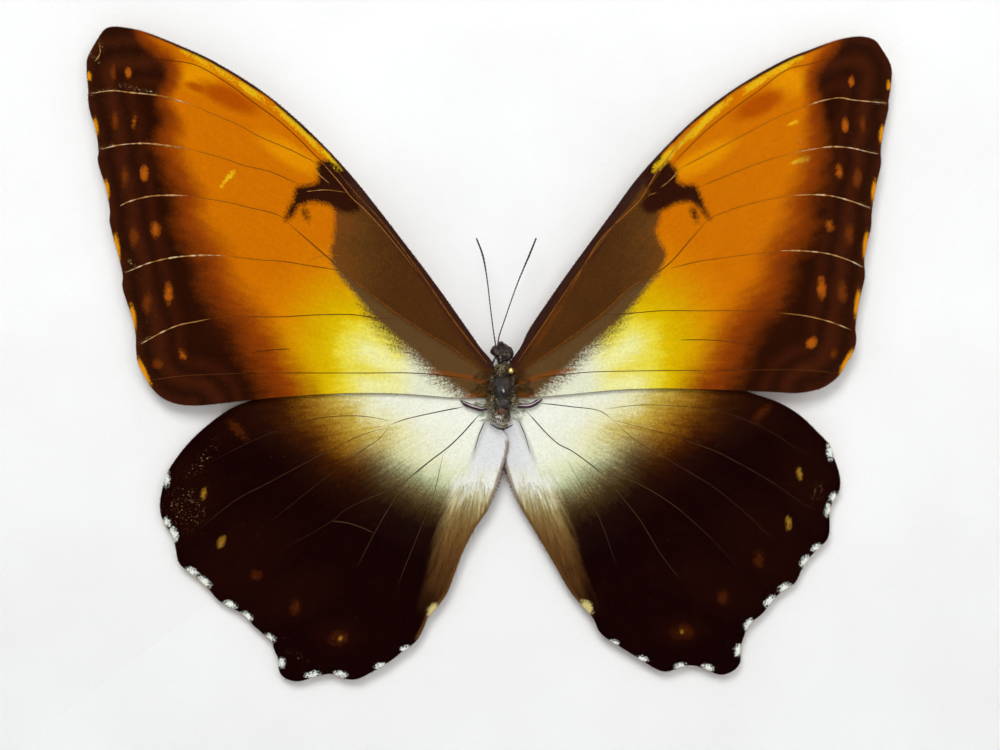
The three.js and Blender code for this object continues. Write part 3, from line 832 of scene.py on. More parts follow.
@dataclass(frozen=True)
class ForewingScales(WingScales):
    """Orange to yellow to white, with a dark margin, a dark cell and yellow spots."""

    name: str = "Forewing scales"

    def ground(self, graph: Graph) -> Socket:
        """The colour without the speckle."""
        colour = graph.ramp(self.stirred(graph, "glow", 0.12, 0.14, 0.14), [
            (0, 198, 106, 0), (0.2, 204, 117, 0), (0.38, 206, 139, 0),
            (0.5, 206, 154, 0), (0.62, 209, 168, 0), (0.71, 216, 182, 8),
            (0.79, 223, 205, 52), (0.88, 227, 214, 92), (0.97, 230, 226, 150)])
        colour = self.layers(graph, colour, [
            ("pallor", 0.4, 0.4, 0.5, 1, (222, 223, 196)), ("amber", 0.4, 0.4, 0.5, 0.7, (222, 145, 0)),
            ("rust", 0.6, 0.6, 0.5, 0.85, (160, 64, 0))])
        cell = graph.ramp(self.stirred(graph, "murk", 1.6, 0.4, 0.8), [
            (0, 110, 62, 20), (0.45, 88, 54, 20), (1, 72, 41, 14)])
        cell = self.layers(graph, cell, [("olive", 0.5, 0.5, 0.5, 0.9, (92, 66, 36))])
        colour = graph.blend(self.ragged(graph, "cell", 2, 0.9), colour, cell)
        colour = self.layers(graph, colour, [
            ("ember", 0.9, 1.6, 0.5, 0.6, (132, 66, 8)), ("bar", 1.7, 0.6, 0.45, 1, (44, 16, 6)),
            ("gilt", 3.2, 3.4, 0.4, 0.85, (222, 180, 20)), ("costa", 1.2, 1.6, 0.5, 1, (50, 27, 22))])
        margin = self.stirred(graph, "margin", 0.26, 0.26, 0.2)
        colour = graph.blend(graph.ease(margin, -0.04, 0.46), colour, (134, 56, 4))
        dark = graph.ramp(self.stirred(graph, "rim", 0.16, 0.1, 0.12), [
            (0, 60, 24, 8), (0.12, 36, 12, 3), (0.26, 62, 24, 7),
            (0.38, 38, 12, 3), (0.47, 54, 19, 4), (0.6, 36, 10, 1), (0.8, 42, 13, 2),
            (1, 52, 17, 3)])
        colour = graph.blend(graph.ease(margin, 0.34, 0.88), colour, dark)
        colour = self.layers(graph, colour, [
            ("ghost", 1.6, 1.6, 0.5, 0.45, (134, 62, 10)), ("spot", 1.8, 1.8, 0.5, 0.8, (184, 92, 14)),
            ("crescent", 1.6, 0.3, 0.4, 1, (214, 136, 14))])
        flecks = graph.ease(graph.noise(graph.place((1, 1, 1.4)), 2.4, 3, 0.85), 0.55, 0.68)
        scuff = graph.math("MULTIPLY", graph.mark("scuff"), flecks)
        return graph.blend(scuff, colour, (200, 160, 108))


@dataclass(frozen=True)
class HindwingScales(WingScales):
    """White at the base, through gold and grey, to almost black, with white notches."""

    name: str = "Hindwing scales"

    def ground(self, graph: Graph) -> Socket:
        """The colour without the speckle."""
        shade = self.stirred(graph, "shade", 0.2, 0.14, 0.08)
        golden = graph.ramp(shade, [
            (0, 236, 238, 224), (0.14, 231, 231, 210), (0.25, 224, 219, 168),
            (0.35, 192, 166, 70), (0.45, 156, 114, 30), (0.56, 104, 60, 8),
            (0.66, 58, 24, 3), (0.8, 32, 9, 2), (1, 18, 1, 1)])
        ashen = graph.ramp(shade, [
            (0, 238, 240, 226), (0.2, 224, 227, 198), (0.31, 204, 209, 168),
            (0.37, 168, 170, 134), (0.43, 130, 126, 88), (0.5, 96, 80, 50),
            (0.6, 58, 40, 18), (0.73, 26, 9, 5), (1, 15, 1, 2)])
        colour = graph.blend(self.ragged(graph, "ash", 0.4, 0.4), golden, ashen)
        tan = graph.ramp(self.stirred(graph, "deep", 0.1, 0.4, 0.1), [
            (0, 230, 230, 220), (0.1, 204, 197, 160), (0.22, 152, 132, 84),
            (0.34, 124, 95, 52), (0.52, 102, 70, 34), (0.75, 84, 52, 22),
            (1, 44, 22, 6)])
        colour = self.layers(graph, colour, [("fold", 0.3, 0.5, 0.5, 1, (220, 220, 220))])
        colour = graph.blend(self.ragged(graph, "down", 0.6, 1), colour, tan)
        colour = self.layers(graph, colour, [
            # crease: a grey line of painted shade along the fold's crease.
            ("crease", 0.3, 0.3, 0.5, 0.6, (176, 178, 172)), ("umber", 0.6, 0.6, 0.5, 0.12, (56, 22, 4)),
            ("hem", 1, 0.5, 0.5, 0.75, (98, 64, 30)), ("rust", 2.6, 1.2, 0.5, 0.36, (104, 46, 8)),
            ("spot", 2.8, 0.8, 0.5, 0.8, (168, 122, 34)),
            ("tail", 2.4, 0.3, 0.4, 0.9, (214, 196, 128)), ("notch", 3.6, 0.4, 0.3, 1, (228, 232, 224))])
        flecks = graph.ease(graph.noise(graph.place(), 2.2, 2, 0.8), 0.62, 0.67)
        scuff = graph.math("MULTIPLY", graph.mark("scuff"), flecks)
        return graph.blend(scuff, colour, (160, 130, 84))


@dataclass(frozen=True)
class Underside(Finish):
    """The dull brown underside of a wing, with wavy darker bands."""

    name: str = "Wing underside"
    roughness: float = 0.85
    specular: float = 0.12

    def dress(self, graph: Graph) -> dict[str, object]:
        """Adds the nodes."""
        at = graph.place()
        bands = graph.node("ShaderNodeTexWave", {
            "Vector": at, "Scale": 0.06, "Distortion": 6, "Detail": 3}).outputs["Fac"]
        base = graph.ramp(bands, [(0.2, 150, 104, 62), (0.8, 192, 146, 96)])
        speckle = graph.group("Scale speckle", {"Vector": at, "Size": 0.5, "Contrast": 0.4})
        normal = graph.bump(speckle.outputs["Height"], 0.05, 0.35)
        return {"Base Color": graph.tinted(base, speckle.outputs["Tint"]), "Normal": normal}


@dataclass(frozen=True)
class Strand(Finish):
    """Veins, fringe and hairs: a colour that runs with the strand's own tone."""

    name: str = "Veins"
    roughness: float = 0.8
    specular: float = 0.05
    flecks: float = 0.5
    tones: tuple = ((0, 30, 10, 4), (0.25, 86, 44, 10), (0.5, 150, 92, 22),
                    (0.75, 190, 146, 92), (1, 222, 206, 178))

    def dress(self, graph: Graph) -> dict[str, object]:
        """Adds the nodes."""
        flecks = graph.math("SUBTRACT", graph.noise(graph.place(), 1.6, 4, 0.8), 0.5)
        tone = graph.math("MULTIPLY_ADD", flecks, self.flecks, graph.mark("tone"))
        colour = graph.ramp(tone, self.tones)
        return {"Base Color": colour, "Normal": graph.bump(flecks, 0.03, 0.4)}


@dataclass(frozen=True)
class BodyShell(Finish):
    """The dark shell of the head and thorax, dusted with olive and grey hair bases."""

    name: str = "Insect body shell"
    specular: float = 0.5

    def dress(self, graph: Graph) -> dict[str, object]:
        """Adds the nodes."""
        at = graph.place()
        patches = graph.noise(at, 1.3, 6, 0.75)
        fine = graph.noise(at, 4, 5, 0.8)
        tone = graph.math("MULTIPLY_ADD", graph.math("SUBTRACT", patches, 0.52), 2.6, graph.mark("tone"))
        # The blue-white top of this ramp serves both the pale patches and a painted highlight where a lump's
        # tone passes 1.
        colour = graph.ramp(tone, [
            (0, 8, 4, 4), (0.22, 22, 12, 6), (0.4, 84, 62, 22),
            (0.64, 156, 142, 92), (0.9, 222, 226, 234)])
        mottle = graph.math("MULTIPLY", graph.ease(graph.noise(at, 1.8, 5, 0.75), 0.48, 0.55),
                            graph.ease(graph.mark("tone"), 0.15, 0.5))
        colour = graph.blend(graph.math("MULTIPLY", mottle, 0.9), colour, (20, 13, 12))
        flecked = graph.blend(graph.ease(fine, 0.6, 0.66), colour, (156, 122, 64))
        bare = graph.blend(graph.mark("red"), flecked, (110, 50, 26))
        rough = graph.math("MULTIPLY_ADD", graph.mark("gloss"), -0.26, 0.4)
        return {"Base Color": bare, "Roughness": rough, "Normal": graph.bump(fine, 0.16, 0.7)}


# Geometry Nodes trees

def end_tree(graph: Graph, geometry: Socket, material: Socket) -> None:
    """Ends a geometry tree in Realize Instances and Set Material."""
    real = graph.node("GeometryNodeRealizeInstances", {"Geometry": geometry}).outputs[0]
    even = graph.node("GeometryNodeSetShadeSmooth", {"Geometry": real, "Shade Smooth": True}).outputs[0]
    dressed = graph.node("GeometryNodeSetMaterial", {"Geometry": even, "Material": material})
    graph.node("NodeGroupOutput", {0: dressed.outputs[0]})


def attribute(graph: Graph, name: str, kind: str) -> Socket:
    """Reads a named attribute in a geometry tree."""
    made = graph.node("GeometryNodeInputNamedAttribute", {"Name": name}, data_type=kind)
    return made.outputs["Attribute"]


def make_tubes() -> None:
    """Tubes along edges, as wide as each point says."""
    graph, given = new_tree("Tapered tubes", "Geometry", {
        "Geometry": ("Geometry",), "Sides": ("Int",), "Material": ("Material",)}, {"Geometry": "Geometry"})
    curve = graph.node("GeometryNodeMeshToCurve", {"Mesh": given["Geometry"]}).outputs[0]
    ring = graph.node("GeometryNodeCurvePrimitiveCircle", {"Resolution": given["Sides"], "Radius": 1})
    width = attribute(graph, "half_width", "FLOAT")
    sized = graph.node("GeometryNodeSetCurveRadius", {"Curve": curve, "Radius": width}).outputs[0]
    inputs = {"Curve": sized, "Profile Curve": ring.outputs[0], "Fill Caps": True}
    body = graph.node("GeometryNodeCurveToMesh", inputs)
    if "Scale" in body.inputs:
        graph.tree.links.new(width, body.inputs["Scale"])
    end_tree(graph, body.outputs[0], given["Material"])


def make_bristles() -> None:
    """A thin cone at each point, aimed and as long as the point says."""
    graph, given = new_tree("Bristles", "Geometry", {
        "Geometry": ("Geometry",), "Radius": ("Float",), "Sides": ("Int",), "Seed": ("Int",),
        "Material": ("Material",)}, {"Geometry": "Geometry"})
    cone = graph.node("GeometryNodeMeshCone", {
        "Vertices": given["Sides"], "Radius Top": 0, "Radius Bottom": given["Radius"],
        "Depth": 1}).outputs[0]
    aim = attribute(graph, "aim", "FLOAT_VECTOR")
    turn = graph.node("FunctionNodeAlignRotationToVector", {"Vector": aim}, axis="Z").outputs[0]
    reach = attribute(graph, "reach", "FLOAT")
    inputs = {2: 0.75, 3: 1.25, "Seed": given["Seed"]}
    vary = graph.node("FunctionNodeRandomValue", inputs, data_type="FLOAT")
    length = graph.math("MULTIPLY", reach, vary.outputs[1])
    scale = graph.node("ShaderNodeCombineXYZ", {"X": 1, "Y": 1, "Z": length}).outputs[0]
    points = graph.node("GeometryNodeMeshToPoints", {"Mesh": given["Geometry"]}).outputs[0]
    grown = graph.node("GeometryNodeInstanceOnPoints", {
        "Points": points, "Instance": cone, "Rotation": turn, "Scale": scale}).outputs[0]
    end_tree(graph, grown, given["Material"])


def run_tree(piece: Piece, name: str, values: dict[str, object]) -> Piece:
    """Runs a geometry tree on a carrier mesh and keeps the result as its plain mesh.

    Args:
        piece: The carrier.
        name: The tree's name.
        values: The tree's inputs by name.

    Returns:
        The piece with its new mesh.
    """
    modifier = piece.modifiers.new(name, "NODES")
    modifier.node_group = bpy.data.node_groups[name]
    for item in modifier.node_group.interface.items_tree:
        if item.item_type == "SOCKET" and item.in_out == "INPUT" and item.name in values:
            modifier[item.identifier] = values[item.name]
    finish_modifiers(piece)
    return piece


def grow_tubes(name: str, lines: list[Line], material: Material, sides: int) -> Piece:
    """Makes tubes along lines.

    Args:
        name: The piece's name.
        lines: Places in metres, half widths in millimetres and tones, a row for each point.
        material: The tubes' material.
        sides: How many sides a tube has.

    Returns:
        The piece.
    """
    edges = []
    start = 0
    for places, _, _ in lines:
        edges += [(start + i, start + i + 1) for i in range(len(places) - 1)]
        start += len(places)
    places, widths, tones = (np.concatenate(part) for part in zip(*lines))
    piece = new_piece(name, places, [], edges)
    paint(piece.data, "half_width", widths * MM)
    paint(piece.data, "tone", tones)
    return run_tree(piece, "Tapered tubes", {"Sides": sides, "Material": material})


def grow_bristles(name: str, bristles: list[Array], radius: float, material: Material,
                  seed: int) -> Piece:
    """Makes a bristle at each root.

    Args:
        name: The piece's name.
        bristles: Roots in metres, ways that they point, lengths in millimetres and tones.
        radius: Radius at the root in millimetres.
        material: The bristles' material.
        seed: Seed of the small change in length.

    Returns:
        The piece.
    """
    roots, aims, reach, tones = bristles
    piece = new_piece(name, roots, [])
    paint(piece.data, "aim", aims)
    paint(piece.data, "reach", reach * MM)
    paint(piece.data, "tone", np.clip(tones, 0, 1))
    values = {"Radius": radius * MM, "Sides": 3, "Seed": seed, "Material": material}
    return run_tree(piece, "Bristles", values)


# Wings

@dataclass
class Vein:
    """A vein or a scratch on a wing.

    Attributes:
        path: [outwards, up] of what it runs through.
        tone: Its tone at the first and the last point.
        width: Half of its width at the first and the last point.
    """

    path: Path
    tone: tuple[float, float] = (0.25, 0.25)
    width: tuple[float, float] = (0.07, 0.1)


@dataclass(frozen=True)
class WingLooks:
    """What the wings are made with; veins and upper sides go by the kind of wing."""

    upper: dict[str, Material]
    under: Material
    veins: dict[str, Material]
    fringe: Material


@dataclass
class Wing:
    """One wing: its outline, its lift off the board, and its marks."""

    side: Side
    outline: Path
    marks: dict[str, object]
    veins: list[Vein]
    looks: WingLooks
    kind: str = "wing"
    root: tuple[float, float] = (1.5, 3)
    fringe_tone: float = 0.1

    def lift(self, at: Array) -> Array:
        """How far the middle surface stands off the board at [outwards, up]."""
        raise NotImplementedError

    def masks(self, at: Array) -> dict[str, Array]:
        """The painted masks at [outwards, up], by attribute name."""
        raise NotImplementedError

    @property
    def node(self) -> str:
        """The name of the wing's node."""
        return f"{self.kind}_{self.side.word}"

    def surface(self, at: Array, above: float | Array) -> Array:
        """Places in metres above the wing's middle surface, or below it."""
        return world(self.side.value * at[:, 0], at[:, 1], self.lift(at) + above)

    def polar(self, at: Array) -> tuple[Array, Array]:
        """The angle and the distance of points from the wing's root."""
        gap = at - self.root
        return np.arctan2(gap[:, 1], gap[:, 0]), np.hypot(gap[:, 0], gap[:, 1])

    def relief(self, at: Array) -> Array:
        """Shallow pleats between the veins and a little waviness."""
        angle, reach = self.polar(at)
        pleats = 0.09 * np.sin(angle * 26 + 0.6) * smooth(8, 40, reach)
        return pleats + 0.05 * np.sin(at[:, 0] * 0.31 + 1.3) * np.cos(at[:, 1] * 0.27)

    def inner_points(self, edge: Array, cell: float) -> Array:
        """Staggered points inside a ring.

        Args:
            edge: The ring.
            cell: The distance between points.

        Returns:
            The points, one to a row.
        """
        rng = np.random.default_rng(7)
        rows = []
        following = np.roll(edge, -1, axis=0)
        room = 0.6 * cell
        for number, up in enumerate(np.arange(edge[:, 1].min() + 0.3 * cell, edge[:, 1].max(), cell * 0.87)):
            cuts = (edge[:, 1] > up) != (following[:, 1] > up)
            start, end = edge[cuts], following[cuts]
            crossing = np.sort(start[:, 0] + (up - start[:, 1]) * (end[:, 0] - start[:, 0])
                               / (end[:, 1] - start[:, 1]))
            for low, high in zip(crossing[::2], crossing[1::2]):
                first = math.ceil((low + room) / cell - 0.5 * (number % 2))
                outs = (np.arange(first, (high - room) / cell) + 0.5 * (number % 2)) * cell
                outs = outs[(outs > low + room) & (outs < high - room)]
                rows.append(np.stack([outs, np.full(len(outs), up)], axis=1))
        inside = np.vstack(rows)
        return inside + rng.uniform(-0.12, 0.12, inside.shape) * cell

    def triangles(self, edge: Array, cell: float) -> tuple[Array, list]:
        """Fills a ring with triangles.

        Args:
            edge: The ring in X and up.
            cell: The distance between inner points.

        Returns:
            The points, the ring's own first, and the triangles.
        """
        points = np.vstack([edge, self.inner_points(edge, cell)])
        count = len(edge)
        ring = [(i, (i + 1) % count) for i in range(count)]
        found = delaunay_2d_cdt([Vector(point) for point in points], ring, [], 1, 1e-5, False)
        flat = np.array([tuple(point) for point in found[0]])
        faces = np.array([tuple(face) for face in found[2]])
        kept = faces[within(flat[faces].mean(axis=1), [tuple(point) for point in edge])]
        return flat, [tuple(int(corner) for corner in face) for face in kept]

    def build(self) -> None:
        """Makes the wing as a closed sheet with its marks."""
        edge = curve_through(self.outline, WING_EDGE_STEP, closed=True)
        edge[:, 0] *= self.side.value
        turned = np.sum(edge[:, 0] * np.roll(edge[:, 1], -1) - np.roll(edge[:, 0], -1) * edge[:, 1])
        if turned < 0:
            edge = edge[::-1].copy()
        count = len(edge)
        top, top_faces = self.triangles(edge, WING_CELL)
        low, low_faces = self.triangles(edge, WING_BACK_CELL)
        base = len(top)
        at = np.vstack([top, low]) * (self.side.value, 1)
        half = np.repeat([0.5, -0.5], [base, len(low)]) * WING_THICKNESS
        faces = top_faces + [(base + a, base + c, base + b) for a, b, c in low_faces]
        faces += [(i, base + i, base + (i + 1) % count, (i + 1) % count) for i in range(count)]
        piece = new_piece(self.node + "_detail", self.surface(at, self.relief(at) + half), faces)
        mesh = piece.data
        mesh.materials.append(self.looks.upper[self.kind])
        mesh.materials.append(self.looks.under)
        is_under = [0] * len(top_faces) + [1] * len(low_faces) + [0] * count
        mesh.polygons.foreach_set("material_index", is_under)
        for name, values in self.masks(at).items():
            paint(mesh, name, values)
        angle, reach = self.polar(at)
        paint(mesh, "ray", np.stack([angle * 30, reach * 0.12, 0.3 * angle], axis=1))
        shade_smooth(piece, 60)
        hand_over(piece, self.kind, self.node)

    def build_veins(self) -> None:
        """Makes the raised veins."""
        rng = np.random.default_rng(17)
        lines = []
        for vein in self.veins:
            at = curve_through(vein.path, 0.6)
            share = np.linspace(0, 1, len(at))
            width = vein.width[0] + (vein.width[1] - vein.width[0]) * share
            tone = vein.tone[0] + (vein.tone[1] - vein.tone[0]) * share
            frayed = smooth(0.5, 0.75, tone)
            width = width * (1 + frayed * rng.uniform(-0.2, 1.6, len(at)))
            tone = tone + frayed * rng.uniform(-0.3, 0.2, len(at))
            width = width * np.minimum(1, 0.25 + 6 * np.minimum(share, 1 - share))
            lines.append((self.surface(at, self.relief(at) + 0.5 * WING_THICKNESS), width, tone))
        material = self.looks.veins[self.kind]
        hand_over(grow_tubes(self.node + "_veins", lines, material, 5), self.kind)

    def build_fringe(self) -> None:
        """Makes the short scales that fringe the wing's edge."""
        rng = np.random.default_rng(11 if self.side is Side.LEFT else 12)
        at = curve_through(self.outline, 0.13, closed=True)
        along = np.roll(at, -1, axis=0) - np.roll(at, 1, axis=0)
        out = np.stack([along[:, 1], -along[:, 0]], axis=1)
        out /= np.linalg.norm(out, axis=1)[:, None]
        if within((at + 0.3 * out)[:1], self.outline)[0]:
            out = -out
        keep = smooth(-2, 6, from_path(at, [self.root, (self.root[0] + 1, self.root[1])]) - 6) > 0.2
        at, out = at[keep], out[keep]
        lean = out + rng.normal(0, 0.35, out.shape)
        aims = np.stack([self.side.value * lean[:, 0], rng.normal(0, 0.2, len(at)), lean[:, 1]], axis=1)
        pale = self.masks(at)["pale"]
        # Near the V between the hindwings the fringe is longer and brown: partly the brown hair there,
        # partly painted shade for the warm shade in the V.
        inner = smooth(-13, -16, at[:, 1]) * smooth(-22, -17, at[:, 1]) * smooth(9, 6, at[:, 0])
        reach = rng.uniform(0.22, 0.42, len(at)) * (1 + 0.6 * pale + 1.4 * inner)
        tones = self.fringe_tone + pale + 0.22 * inner + rng.normal(0, 0.06, len(at))
        bristles = [self.surface(at - 0.12 * out, 0), aims, reach, tones]
        hand_over(grow_bristles(self.node + "_fringe", bristles, 0.07, self.looks.fringe, 3), self.kind)


@dataclass
class Forewing(Wing):
    """A forewing: a long triangle that arches a little and droops to its tip."""

    kind: str = "forewing"
    root: tuple[float, float] = (1.5, 5)

    def lift(self, at: Array) -> Array:
        """The lift at [outwards, up]."""
        share = np.minimum(1, np.hypot(at[:, 0], at[:, 1] * 0.5) / 84)
        return 6.4 + 0.6 * np.sin(np.pi * share) - 1.8 * share * share

    def masks(self, at: Array) -> dict[str, Array]:
        """The masks by attribute name."""
        marks = self.marks
        whole = curve_through(self.outline, 1.5, closed=True)
        edge = [tuple(point) for point in whole if point[1] > marks["front_from"](point[0])]
        outer = [point for point in self.outline if point[0] > 60 and point[1] < 72]
        rim = from_path(at, outer)
        front, up = from_path(at, edge), at[:, 1]
        core = np.minimum(from_path(at, marks["white"]), from_path(at, marks["white_low"]))
        crescent = dots(at, marks["crescents"]) * np.clip(1.5 - rim / 0.8, 0, 1)
        ember = np.maximum(dots(at, marks["ember"]), stroke(at, marks["ember_vein"], 0.1, 0.7))
        reach = 8.7 - 0.07 * np.clip(up, 0, 60) - 1.8 * smooth(50, 60, up)
        depth = signed_gap(at, marks["margin"]) + 1.2 * smooth(24, 6, up)
        return {
            "margin": np.clip(0.5 + 0.5 * depth / reach, -1, 2),
            "rim": np.clip(rim / 18, 0, 1),
            "cell": region(at, marks["cell"], 0.8 + 1.3 * smooth(22, 12, up)),
            "olive": region(at, marks["olive"], 0.8),
            "murk": smooth(36, 20, at[:, 0]),
            "bar": np.maximum(region(at, marks["bar"], 0.9), 0.65 * dots(at, marks["smudges"], 1.4)),
            "glow": np.clip(1 - core / 24.5, 0, 1),
            "pallor": smooth(23, 15, at[:, 0]) * smooth(12, 4, from_path(at, marks["white"])),
            "amber": dots(at, marks["amber"]),
            "rust": dots(at, marks["rust"]),
            "gilt": np.maximum(0.8 * stroke(at, marks["gilt"], 0.25, 0.8), dots(at, marks["gleams"])),
            "costa": np.maximum(
                smooth(0.8, 0.25, front), 0.8 * smooth(3, 1.2, front) * smooth(45, 42, up)),
            "ember": np.maximum(ember, 0.4 * stroke(at, marks["ember_line"], 0.2, 0.7)),
            "spot": dots(at, marks["spots"], 1.9),
            "ghost": dots(at, marks["faint_spots"], 1.4),
            "crescent": crescent,
            "scuff": sum(stroke(at, path, width, 0.4) for path, width in marks["scuffs"]),
            "pale": 0.6 * crescent,
        }


@dataclass
class Hindwing(Wing):
    """A hindwing: a toothed fan, folded down along the body."""

    kind: str = "hindwing"
    root: tuple[float, float] = (2, -2)
    fold_depth: float = 0.7
    fringe_tone: float = 0.04

    def lift(self, at: Array) -> Array:
        """The lift at [outwards, up]."""
        share = np.minimum(1, np.hypot(at[:, 0], at[:, 1]) / 70)
        fold_line = np.maximum(0, (-14 - at[:, 1]) * 0.45)
        gap = np.maximum(0, at[:, 0] - fold_line) / 3.6
        fold = self.fold_depth * np.exp(-gap * gap) * smooth(4, 10, -at[:, 1])
        return 5.2 + 0.4 * np.sin(np.pi * share) - 2 * share * share - fold

    def masks(self, at: Array) -> dict[str, Array]:
        """The masks by attribute name."""
        marks = self.marks
        outer = [point for point in self.outline if point[1] < -9 and point[0] > 14]
        inner = [point for point in self.outline[30:] if point[0] < 18]
        brim = np.clip(1.5 - from_path(at, outer) / 1.1, 0, 1)
        notch = 0.94 * dots(at, marks["notches"], 1.4) * brim
        tail = dots(at, marks["tail_patch"])
        width = 19 - 5 * smooth(-6, -13, at[:, 1])
        shade = 0.57 - signed_gap(at, marks["light"]) / width
        return {
            "shade": np.clip((shade + 0.3) / 1.8, 0, 1),
            "ash": region(at, marks["ash"], 5),
            "fold": region(at, marks["fold"], 0.9),
            # The grey line along the fold's crease is painted shade.
            "crease": stroke(at, marks["crease"], 0.1, 0.9) * smooth(-16, -11, at[:, 1]),
            "down": region(at, marks["down"], 1.6),
            "deep": np.clip((-18 - at[:, 1]) / 23, 0, 1),
            "hem": smooth(0.9, 0.25, from_path(at, inner)) * smooth(-8, -10, at[:, 1]),
            "umber": dots(at, marks["umber"]),
            "rust": dots(at, marks["rust"], 2.2),
            "spot": dots(at, marks["spots"], 1.9),
            "tail": tail,
            "notch": notch,
            "scuff": dots(at, marks["scuffs"]),
            "pale": np.maximum(notch, 0.7 * tail),
        }


# The marks of this specimen, [outwards, up], with widths and heights for spots

FOREWING_LEFT = [(1.6, 5.8), (4.4, 9.6), (6.8, 13), (11, 19), (15.4, 25), (20, 31), (24.6, 37), (29.4, 43),
    (34.8, 49), (41, 55), (48.4, 61), (58.2, 67), (63.4, 69.4), (68.4, 71.5), (72.4, 72.9), (75.4, 73.5),
    (77.8, 73.7), (79.4, 73.2), (81.4, 70.4), (83, 67.2), (83.1, 65.2), (82.8, 61), (82.8, 59), (82.4, 56.6),
    (81.4, 53.6), (80.7, 48.6), (80.9, 47.2), (80.2, 44.4), (79.3, 41.8), (78.4, 36.6), (78.5, 35),
    (77.8, 31.8), (76.6, 27.6), (75.8, 23.8), (75.9, 21.8), (75.2, 19.2), (74, 15.8), (73.2, 12),
    (73.1, 8.8), (72.7, 6.4), (71, 3), (69.8, 1.2), (67.8, -0.6), (64.8, -1.8), (61.4, -2.1), (56.4, -1.7),
    (49.4, -0.9), (40.4, -0.1), (30.4, 0.4), (20.4, 0.3), (9.4, -0.5), (4.4, -0.6), (2, -0.2)]
FOREWING_RIGHT = [(1.4, 5.8), (3.7, 9.6), (5.4, 13), (9.4, 19), (13.6, 25), (18, 31), (22.4, 37), (26.8, 43),
    (32.2, 49), (38.4, 55), (46.2, 61), (56.6, 67), (61.6, 69), (67.6, 71.1), (71.6, 71.7), (73.6, 71.4),
    (74.8, 70.8), (76, 69.2), (77.7, 66.2), (78, 64.4), (77.6, 60.6), (77.3, 58.6), (77.3, 57.4),
    (76.4, 53.4), (75.9, 50.6), (75.7, 48.4), (75.8, 46.4), (74.8, 41.8), (73.9, 36.4), (73.8, 33.8),
    (73, 30.4), (72.4, 27), (72.5, 23.6), (71.4, 19), (70.9, 16), (70.6, 13), (70.8, 11.4), (70.4, 9.2),
    (68.6, 6), (67.2, 3.8), (65.6, 2.4), (63.6, 1.3), (61.2, 0.7), (58.6, 0.4), (54.6, 0.6), (49.6, 0.8),
    (39.6, 1.2), (29.6, 1.3), (23.6, 1.1), (11.6, 0), (4, -0.6), (2, -0.2)]
HINDWING_LEFT = [(2, -1.6), (10.4, 1.4), (20.4, 3.2), (32.4, 3.4), (42.4, 1.6), (51.4, -1.5), (54.4, -2.8),
    (59.4, -6.4), (63.4, -10.3), (66.8, -15), (67.3, -16.2), (68, -18.4), (68.6, -22), (68.3, -24.4),
    (67.3, -26.4), (66, -28.2), (65.4, -31), (64.8, -33.6), (62.4, -35.8), (60.8, -37), (58.6, -39.2),
    (56.8, -41.2), (54, -42.8), (51.8, -44), (50.2, -45.8), (47.8, -48), (46.2, -49.2), (45.7, -51),
    (44.7, -53.4), (44.8, -54.8), (44.2, -56.2), (42.8, -57.1), (40.8, -57.4), (37.2, -56.4), (34.4, -55.9),
    (32.6, -56.4), (30.8, -57), (29, -56.9), (26.8, -55.9), (22, -53), (20, -51.4), (18.2, -50.2),
    (16.8, -48.8), (15.6, -46.4), (14.8, -44.5), (12.6, -42), (11, -39.6), (9.8, -36.6), (8.2, -32.2),
    (6.8, -29.2), (5, -26), (3, -23.2), (1.2, -18.8), (0.2, -15.6), (-0.9, -12.2), (-1.3, -10), (-1, -8.4),
    (0.2, -6.6), (1.4, -4)]
HINDWING_RIGHT = [(2, -1.6), (10.4, 2.2), (20.4, 4.4), (32, 5), (42, 3.4), (50, 0.4), (55.6, -1.6),
    (59.6, -4), (63.2, -7.4), (65.6, -10), (66.4, -12.2), (67.4, -15), (67.8, -17), (67.6, -19.2),
    (66.2, -21.6), (65.7, -24), (65.6, -27.8), (65, -29.2), (63, -31.2), (61.2, -33.2), (60, -35.2),
    (58.8, -37.6), (56.4, -39.2), (54.2, -41.2), (52.2, -43.8), (49.6, -46), (48.5, -48.4), (47.8, -51),
    (47.8, -53.4), (47, -54.8), (45.6, -55.7), (44, -56.1), (42.4, -55.7), (40, -54.6), (38, -54.2),
    (36.2, -54.4), (33.2, -55.4), (31.6, -55.2), (26.2, -52), (22.4, -49.6), (20.8, -48.6), (19.4, -47.2),
    (18.2, -44.6), (15.2, -41.2), (13.6, -39.2), (10, -33), (8, -29.6), (5.6, -25.6), (3.8, -22.6),
    (2.6, -20), (1.6, -17.4), (0.6, -14.2), (0, -11), (0, -8.8), (0.6, -6.6), (1.4, -4)]

